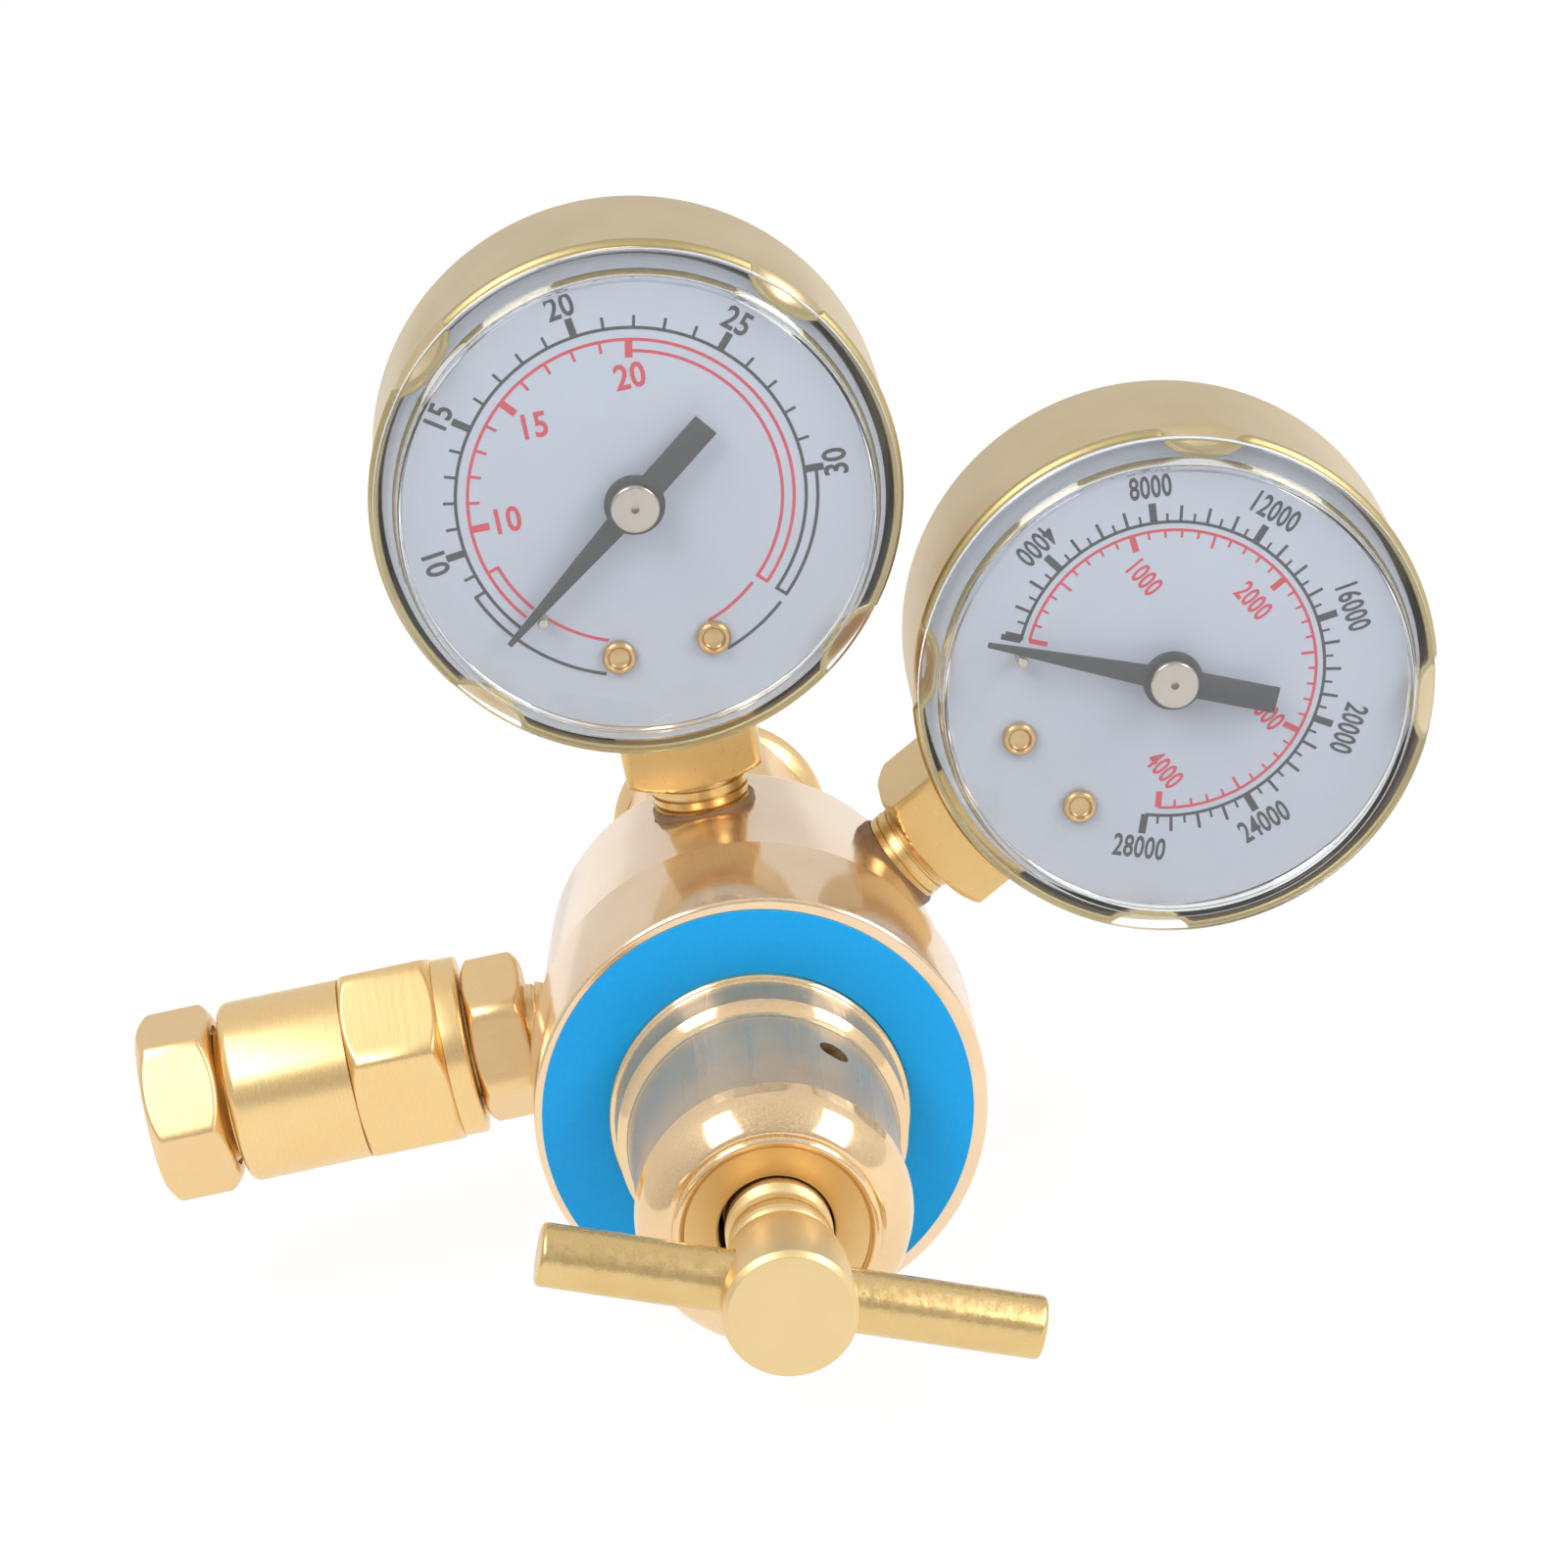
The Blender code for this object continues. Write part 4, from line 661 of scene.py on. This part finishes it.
def printed(gauge):
    """The middle of the print, which is a little off the middle of the dial."""
    x, y = PRINT_SHIFT[gauge]
    return on_dial(gauge) @ Matrix.Translation((x * MM, y * MM, 0))


def graduation_group():
    """Bars of one size at even angles round a dial."""
    tree = bpy.data.node_groups.new("graduations", "GeometryNodeTree")
    given, result = group_inputs(tree, (
        ("Count", "Int"), ("From", "Float"), ("To", "Float"), ("Radius", "Float"), ("Length", "Float"),
        ("Width", "Float"), ("Thickness", "Float"), ("Finish", "Material")))
    link = tree.links.new

    def sums(kind, first, second=None):
        node = tree.nodes.new("ShaderNodeMath")
        node.operation = kind
        for socket, value in zip(node.inputs, (first, second)):
            if isinstance(value, (int, float)):
                socket.default_value = value
            elif value is not None:
                link(value, socket)
        return node.outputs[0]

    points = tree.nodes.new("GeometryNodePoints")
    link(given.outputs["Count"], points.inputs["Count"])
    index = tree.nodes.new("GeometryNodeInputIndex")
    gaps = sums("MAXIMUM", sums("SUBTRACT", given.outputs["Count"], 1), 1)
    share = sums("DIVIDE", index.outputs[0], gaps)
    span = sums("SUBTRACT", given.outputs["To"], given.outputs["From"])
    angle = sums("ADD", given.outputs["From"], sums("MULTIPLY", share, span))
    spot = tree.nodes.new("ShaderNodeCombineXYZ")
    link(sums("MULTIPLY", given.outputs["Radius"], sums("COSINE", angle)), spot.inputs["X"])
    link(sums("MULTIPLY", given.outputs["Radius"], sums("SINE", angle)), spot.inputs["Y"])
    move = tree.nodes.new("GeometryNodeSetPosition")
    link(points.outputs[0], move.inputs["Geometry"])
    link(spot.outputs[0], move.inputs["Position"])
    size = tree.nodes.new("ShaderNodeCombineXYZ")
    for label, axis in (("Length", "X"), ("Width", "Y"), ("Thickness", "Z")):
        link(given.outputs[label], size.inputs[axis])
    bar = tree.nodes.new("GeometryNodeMeshCube")
    link(size.outputs[0], bar.inputs["Size"])
    aim = tree.nodes.new("ShaderNodeCombineXYZ")
    link(angle, aim.inputs["Z"])
    spread = tree.nodes.new("GeometryNodeInstanceOnPoints")
    link(move.outputs["Geometry"], spread.inputs["Points"])
    link(bar.outputs["Mesh"], spread.inputs["Instance"])
    link(aim.outputs[0], spread.inputs["Rotation"])
    real = tree.nodes.new("GeometryNodeRealizeInstances")
    paint = tree.nodes.new("GeometryNodeSetMaterial")
    link(spread.outputs["Instances"], real.inputs["Geometry"])
    link(real.outputs["Geometry"], paint.inputs["Geometry"])
    link(given.outputs["Finish"], paint.inputs["Material"])
    link(paint.outputs["Geometry"], result.inputs["Geometry"])
    return tree


def ticks(gauge, count, first, last, inner, outer, width, ink):
    """Graduations from inner to outer radius, at even angles in degrees."""
    values = {"Count": count, "From": math.radians(first), "To": math.radians(last),
              "Radius": (inner + outer) / 2 * MM, "Length": (outer - inner) * MM, "Width": width * MM,
              "Thickness": ink_thick * MM, "Finish": ink}
    return grown("ticks", graduations, values, printed(gauge))


def sweep(gauge, radius, first, last, width, ink):
    """A printed line round part of the dial."""
    steps = max(4, round(abs(last - first) * 1.2))
    verts, faces = [], []
    for k in range(steps + 1):
        turn = math.radians(first + (last - first) * k / steps)
        for r in (radius - width / 2, radius + width / 2):
            for z in (-ink_thick / 2, ink_thick / 2):
                verts.append((r * math.cos(turn) * MM, r * math.sin(turn) * MM, z * MM))
    for k in range(steps):
        a, b = 4 * k, 4 * k + 4
        faces += [(a, a + 1, b + 1, b), (a + 1, a + 3, b + 3, b + 1), (a + 3, a + 2, b + 2, b + 3),
                  (a + 2, a, b, b + 2)]
    faces += [(0, 1, 3, 2), (4 * steps, 4 * steps + 1, 4 * steps + 3, 4 * steps + 2)]
    mesh = bpy.data.meshes.new("sweep")
    mesh.from_pydata(verts, [], faces)
    mesh.transform(printed(gauge))
    outward_faces(mesh)
    return piece("sweep", mesh, ink)


digit_share, weight = 0.72, 0.03


def number(gauge, words, radius, angle, height, narrow, turned_round, ink):
    """A printed number at a radius and an angle in degrees; turned_round ones follow the dial."""
    text = bpy.data.curves.new("number", "FONT")
    text.body = words
    text.size = height / digit_share
    text.align_x = "CENTER"
    text.align_y = "CENTER"
    text.space_character = 1.04
    text.resolution_u = 3
    text.extrude = ink_thick / 2
    text.offset = weight * height
    made = bpy.data.objects.new("number", text)
    bpy.context.scene.collection.objects.link(made)
    mesh = evaluated_mesh(made)
    bpy.data.objects.remove(made, do_unlink=True)
    lean = 0.0
    if turned_round:
        lean = angle - 90 if 0 < angle % 360 < 180 else angle + 90
    turn = math.radians(angle)
    spot = (radius * math.cos(turn) * MM, radius * math.sin(turn) * MM, 0)
    place = printed(gauge) @ Matrix.Translation(spot) @ Matrix.Rotation(math.radians(lean), 4, "Z")
    mesh.transform(place @ Matrix.Diagonal((narrow * MM, MM, MM, 1)))
    outward_faces(mesh)
    return piece("number", mesh, ink)


def joined(name, pieces, finish):
    """One piece from several, each a hair above the one before."""
    bm = bmesh.new()
    for k, made in enumerate(pieces):
        made.data.transform(Matrix.Translation((0, -1e-6 * k, 0)))
        bm.from_mesh(made.data)
        bpy.data.objects.remove(made, do_unlink=True)
    mesh = bpy.data.meshes.new(name)
    bm.to_mesh(mesh)
    bm.free()
    return piece(name, mesh, finish)


graduations = graduation_group()
dial_white = coat("dial_white", (0.47, 0.505, 0.585), (0.445, 0.48, 0.565), 0.45, 900)
ink_black = coat("ink_black", (0.055, 0.058, 0.062), (0.045, 0.047, 0.05), 0.5, 3000)
ink_red = coat("ink_red", (0.60, 0.07, 0.10), (0.52, 0.055, 0.08), 0.5, 3000)
outline = rounded([(dial_hole, dial_back, 0), (dial_r, dial_back, 0.1), (dial_r, dial_front, 0.1),
                   (dial_hole, dial_front, 0)], 3)
for gauge in GAUGE_TURNS:
    plate = turned(gauge + "_dial_plate", outline, gauge_axis(gauge), dial_white, 192)
    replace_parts(plate, gauge + "_dial")
    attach(plate, "regulator_body")

line, minor, major, box_end = 0.33, 0.3, 0.75, 0.15
flow_start, flow_majors = 195.3, (186.9, 143.9, 96.9, 47.9, -2.8)
flow_in, flow_out, flow_minor_out, flow_major_out = 17.35, 18.5, 18.6, 19.3
marks = [ticks("flow", 6, first, last, flow_in, flow_minor_out, minor, ink_black)
         for first, last in zip(flow_majors, flow_majors[1:])]
marks.append(ticks("flow", 1, flow_start, flow_start, flow_in, flow_minor_out, minor, ink_black))
for angle in flow_majors:
    marks.append(ticks("flow", 1, angle, angle, flow_in, flow_major_out, major, ink_black))
for radius, first, last in ((flow_in, -45.2, 219.0), (flow_out, 201.7, 250.5),
                            (flow_out, -70.5, -48.2), (flow_out, -45.2, -2.8)):
    marks.append(sweep("flow", radius, first, last, line, ink_black))
for angle in (-45.2, 201.7):
    marks.append(ticks("flow", 1, angle, angle, flow_in - box_end, flow_out + box_end, line, ink_black))
for words, angle in (("10", 186.8), ("15", 144.5), ("20", 98.0), ("25", 47.8), ("30", -2.1)):
    marks.append(number("flow", words, 20.6, angle, 2.4, 0.85, True, ink_black))
flow_black = joined("flow_scale_black", marks, ink_black)
red_out, red_in, red_majors = 16.15, 15.0, (179.6, 130.8, 79.0)
marks = [sweep("flow", radius, first, last, line, ink_red) for radius, first, last in (
    (red_out, -45.0, 218.0), (red_in, -45.0, 78.2), (red_in, 223.5, 249.5), (red_in, -71.0, -48.2),
    (red_in, 196.6, 218.0))]
for angle in (-45.0, 196.6):
    marks.append(ticks("flow", 1, angle, angle, red_in - box_end, red_out + box_end, line, ink_red))
for first, last in zip(red_majors, red_majors[1:]):
    marks.append(ticks("flow", 6, first, last, 14.95, red_out, minor, ink_red))
for angle in red_majors:
    marks.append(ticks("flow", 1, angle, angle, 14.3, red_out, major, ink_red))
for words, radius, angle in (("10", 12.6, 179.0), ("15", 12.1, 131.0), ("20", 12.3, 78.6)):
    marks.append(number("flow", words, radius, angle, 2.6, 0.85, False, ink_red))
flow_red = joined("flow_scale_red", marks, ink_red)

black_r, black_end, black_start, black_zero = 15.5, -48.9, 217.2, 215.6
marks = [sweep("pressure", black_r, black_end, black_start, line, ink_black)]
for count, first, last, outer, width in (
        (55, black_zero, black_end, 16.4, 0.24), (28, black_zero, black_end, 17.2, 0.32),
        (7, 186.3, black_end, 17.55, 0.75), (1, black_start, black_start, 17.55, 0.6)):
    marks.append(ticks("pressure", count, first, last, black_r, outer, width, ink_black))
for words, angle in (("4000", 185.7), ("8000", 147.0), ("12000", 108.2), ("16000", 69.2),
                     ("20000", 29.8), ("24000", 350.7), ("28000", 311.1)):
    marks.append(number("pressure", words, 19.15, angle, 2.35, 0.64, True, ink_black))
pressure_black = joined("pressure_scale_black", marks, ink_black)
red_r, red_end, red_start = 14.65, -44.3, 216.7
marks = [sweep("pressure", red_r, red_end, red_start, 0.3, ink_red)]
for count, first, last, inner, width in (
        (40, red_start, red_end, 13.85, 0.24), (8, 189.9, red_end, 13.2, 0.28),
        (4, 156.4, red_end, 12.95, 0.65), (1, red_start, red_start, 12.8, 0.5)):
    marks.append(ticks("pressure", count, first, last, inner, red_r, width, ink_red))
for words, radius, angle in (("1000", 10.2, 156.8), ("2000", 10.7, 90.8), ("3000", 10.7, 24.0),
                             ("4000", 10.7, 317.0)):
    marks.append(number("pressure", words, radius, angle, 2.2, 0.64, False, ink_red))
pressure_red = joined("pressure_scale_red", marks, ink_red)
for made in (flow_black, flow_red, pressure_black, pressure_red):
    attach(made, "regulator_body")


# Dial rivets, stop pins, pointers and their caps. Brass rivets hold the dial; a black pressed pointer
# with a disc and a tail is held on the arbor by a nickel cap.
def plate_piece(name, outline, low, high, place, finish, bevel=0.06):
    """A flat plate cut to an outline, with broken edges."""
    bm = bmesh.new()
    corners = [bm.verts.new((x * MM, y * MM, low * MM)) for x, y in outline]
    face = bm.faces.new(corners)
    far_side = bmesh.ops.extrude_face_region(bm, geom=[face], use_keep_orig=True)["geom"]
    raised = [v for v in far_side if isinstance(v, bmesh.types.BMVert)]
    bmesh.ops.translate(bm, vec=(0, 0, (high - low) * MM), verts=raised)
    bmesh.ops.recalc_face_normals(bm, faces=bm.faces)
    edges = [e for e in bm.edges if abs(e.verts[0].co.z - e.verts[1].co.z) < 1e-7]
    bmesh.ops.bevel(bm, geom=edges, offset=bevel * MM, segments=2, affect="EDGES", profile=0.5)
    mesh = bpy.data.meshes.new(name)
    bm.to_mesh(mesh)
    bm.free()
    mesh.transform(place)
    return piece(name, mesh, finish)


pointer_black = coat("pointer_black", (0.055, 0.056, 0.058), (0.04, 0.041, 0.043), 0.42, 2200, 4e-6)
nickel = metal("nickel", (0.62, 0.55, 0.49), (0.50, 0.45, 0.39), 0.25, (1500, 1500, 1500), 6e-6)
rivet_brass = metal("rivet_brass", (0.76, 0.52, 0.26), (0.60, 0.38, 0.15), 0.3,
                    (1500, 1500, 1500), 8e-6)
disc_r, length, tail, tail_half, neck_half, tip_half = 3.05, 19.1, 10.8, 1.35, 1.1, 0.25
near, far = math.asin(neck_half / disc_r), math.pi - math.asin(tail_half / disc_r)
turns = [near + (far - near) * k / 20 for k in range(21)]
half = [(length, tip_half)] + [(disc_r * math.cos(turn), disc_r * math.sin(turn)) for turn in turns]
half.append((-tail, tail_half))
hand_outline = half + [(x, -y) for x, y in reversed(half)]
hand_low, hand_high, rest_turn = 2.2, 2.7, math.radians(217.4)
rivet_side, rivet_down, stop_turn, stop_out = 4.8, 15.8, math.radians(221.7), 15.3
rivet_outline = rounded([
    (0, 1.7, 0), (0.8, 1.7, 0), (0.8, -0.3, 0), (1.75, -0.3, 0.1), (1.75, -0.75, 0.25),
    (1.45, -1.05, 0.15), (1.2, -1.05, 0.1), (1.0, -0.6, 0.15), (0, -0.5, 0)], 4)
pin_outline = rounded([
    (0, 0.6, 0), (0.25, 0.6, 0), (0.25, -0.3, 0), (0.55, -0.3, 0.05), (0.55, -2.6, 0.2),
    (0, -2.6, 0)], 3)
cap_outline = rounded([
    (0, 26.9, 0), (1.0, 26.9, 0.1), (1.0, 23.8, 0), (2.45, 23.8, 0.1), (2.45, 22.6, 0.3),
    (0.4, 22.6, 0.06), (0.38, 23.5, 0), (0, 23.5, 0)], 4)


def off_middle(gauge, right, down):
    """A place on the face of the dial, with local Z to the back."""
    return gauge_axis(gauge) @ Matrix.Translation((right * MM, down * MM, dial_front * MM))


for gauge in GAUGE_TURNS:
    for side, x in (("a", -rivet_side), ("b", rivet_side)):
        rivet = turned(f"{gauge}_rivet_{side}", rivet_outline, off_middle(gauge, x, rivet_down),
                       rivet_brass, 48)
        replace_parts(rivet, f"{gauge}_dial_rivet_{side}")
        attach(rivet, "regulator_body")
    place = off_middle(gauge, stop_out * math.cos(stop_turn), -stop_out * math.sin(stop_turn))
    pin = turned(gauge + "_pin", pin_outline, place, nickel, 24)
    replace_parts(pin, gauge + "_stop_pin")
    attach(pin, "regulator_body")
    place = on_dial(gauge) @ Matrix.Rotation(rest_turn, 4, "Z")
    hand = plate_piece(gauge + "_hand", hand_outline, hand_low, hand_high, place, pointer_black)
    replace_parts(hand, gauge + "_pointer")
    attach(hand, gauge + "_pointer")
    cap = turned(gauge + "_cap", cap_outline, gauge_axis(gauge), nickel, 72)
    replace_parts(cap, gauge + "_pointer_cap")
    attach(cap, gauge + "_pointer")
    for node, finish in (("_pinion_arbor", spring_steel), ("_sector_gear", inner_brass),
                         ("_movement_frame", inner_brass), ("_bourdon_tube", inner_brass)):
        nodes[gauge + node].data.materials[0] = finish


# Windows. Clear moulded plastic: a raised flat middle and a lower rim all round, which lies against the
# case's lip. They cast no shadow.
def clear_plastic():
    """Plastic that is clear and a little cloudy in places."""
    finish, tree, shader = new_finish("clear_plastic")
    shader.inputs["Base Color"].default_value = (0.97, 0.985, 0.99, 1)
    shader.inputs["Transmission Weight"].default_value = 1.0
    shader.inputs["IOR"].default_value = 1.49
    place = new_node(tree, "ShaderNodeTexCoord")
    haze = new_node(tree, "ShaderNodeTexNoise", Scale=220.0)
    dull = new_node(tree, "ShaderNodeMapRange", To_Max=0.04)
    passes = new_node(tree, "ShaderNodeBsdfTransparent")
    path = new_node(tree, "ShaderNodeLightPath")
    mix = new_node(tree, "ShaderNodeMixShader")
    link = tree.links.new
    link(place.outputs["Object"], haze.inputs["Vector"])
    link(haze.outputs["Fac"], dull.inputs["Value"])
    link(dull.outputs["Result"], shader.inputs["Roughness"])
    link(path.outputs["Is Shadow Ray"], mix.inputs["Fac"])
    link(shader.outputs["BSDF"], mix.inputs[1])
    link(passes.outputs["BSDF"], mix.inputs[2])
    link(mix.outputs["Shader"], tree.nodes["Material Output"].inputs["Surface"])
    return finish


window_plastic = clear_plastic()
window_front, window_inside, window_bore, rim_back = 20.9, 21.9, 23.4, 24.65
outline = [
    (0, window_front), *arc(23.55, 21.2, 0.3, -90, -5, 5), (24.25, 22.9), (24.4, 23.15), (24.7, 23.28),
    (24.9, 23.3), *arc(25.9, 23.6, 0.3, -90, 0, 5), (26.2, 24.4), (26.15, 24.58), (26.0, rim_back),
    (23.5, rim_back), (window_bore, 24.55), (window_bore, 22.1), (23.37, 21.97),
    (23.25, window_inside), (0, window_inside)]
for gauge in GAUGE_TURNS:
    window = turned(gauge + "_window", outline, case_place(gauge), window_plastic, 192)
    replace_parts(window, gauge + "_lens")
    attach(window, "regulator_body")


# Studio. A white floor under the body, a white surround and two long soft boxes, high at the left and at
# the right; the room is a little darker toward the viewer.
def floor_finish():
    """White that glows for what looks at it or mirrors it, and still takes the object's shadow."""
    finish, tree, shader = new_finish("studio_floor")
    shader.inputs["Base Color"].default_value = (0.9, 0.9, 0.9, 1)
    shader.inputs["Roughness"].default_value = 1.0
    glow = new_node(tree, "ShaderNodeEmission", Strength=1.04)
    path = new_node(tree, "ShaderNodeLightPath")
    either = new_node(tree, "ShaderNodeMath")
    any_ray = new_node(tree, "ShaderNodeMath")
    either.operation = any_ray.operation = "MAXIMUM"
    seen = new_node(tree, "ShaderNodeMath")
    seen.operation = "MULTIPLY"
    seen.inputs[1].default_value = 0.88
    mix = new_node(tree, "ShaderNodeMixShader")
    link = tree.links.new
    link(path.outputs["Is Glossy Ray"], either.inputs[0])
    link(path.outputs["Is Transmission Ray"], either.inputs[1])
    link(path.outputs["Is Camera Ray"], any_ray.inputs[0])
    link(either.outputs[0], any_ray.inputs[1])
    link(any_ray.outputs[0], seen.inputs[0])
    link(seen.outputs[0], mix.inputs["Fac"])
    link(shader.outputs["BSDF"], mix.inputs[1])
    link(glow.outputs["Emission"], mix.inputs[2])
    link(mix.outputs["Shader"], tree.nodes["Material Output"].inputs["Surface"])
    return finish


floor_z, floor_half = -0.0226, 4.0
bm = bmesh.new()
bmesh.ops.create_grid(bm, x_segments=1, y_segments=1, size=floor_half)
bmesh.ops.translate(bm, vec=(0, 0, floor_z), verts=bm.verts)
floor_mesh = bpy.data.meshes.new("studio_floor")
bm.to_mesh(floor_mesh)
bm.free()
floor = piece("studio_floor", floor_mesh, floor_finish())
floor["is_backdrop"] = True

world = bpy.data.worlds.new("studio")
bpy.context.scene.world = world
world.use_nodes = True
tree = world.node_tree
sky = tree.nodes["Background"]
sky.inputs["Strength"].default_value = 0.75
white = new_node(tree, "ShaderNodeBackground", Color=(1, 1, 1, 1))
direction = new_node(tree, "ShaderNodeTexCoord")
parts = new_node(tree, "ShaderNodeSeparateXYZ")
front = new_node(tree, "ShaderNodeMapRange", From_Min=-1.0, From_Max=0.3, To_Min=0.6)
path = new_node(tree, "ShaderNodeLightPath")
mix = new_node(tree, "ShaderNodeMixShader")
link = tree.links.new
link(direction.outputs["Generated"], parts.inputs["Vector"])
link(parts.outputs["Y"], front.inputs["Value"])
link(front.outputs["Result"], sky.inputs["Color"])
link(path.outputs["Is Camera Ray"], mix.inputs["Fac"])
link(sky.outputs["Background"], mix.inputs[1])
link(white.outputs["Background"], mix.inputs[2])
link(mix.outputs["Shader"], tree.nodes["World Output"].inputs["Surface"])

lamp_target = Vector((0.0, -0.1, 0.02))


def lamp(name, place, along, width, length, power):
    """A soft box that faces the regulator, with its length along a direction; sizes are in metres."""
    data = bpy.data.lights.new(name, "AREA")
    data.shape = "RECTANGLE"
    data.size, data.size_y = width, length
    data.energy = power
    made = bpy.data.objects.new(name, data)
    made.location = place
    away = (Vector(place) - lamp_target).normalized()
    side = Vector(along).cross(away).normalized()
    made.rotation_mode = "QUATERNION"
    made.rotation_quaternion = Matrix((side, away.cross(side), away)).transposed().to_quaternion()
    bpy.context.scene.collection.objects.link(made)


lamp("lamp_left", (-0.383, -0.484, 0.863), (-0.119, 0.916, 0.381), 0.35, 1.1, 6.0)
lamp("lamp_right", (0.782, -0.422, 0.547), (0.235, 0.939, 0.251), 0.35, 1.1, 6.0)
bpy.context.scene.view_settings.view_transform = "Standard"

low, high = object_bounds()
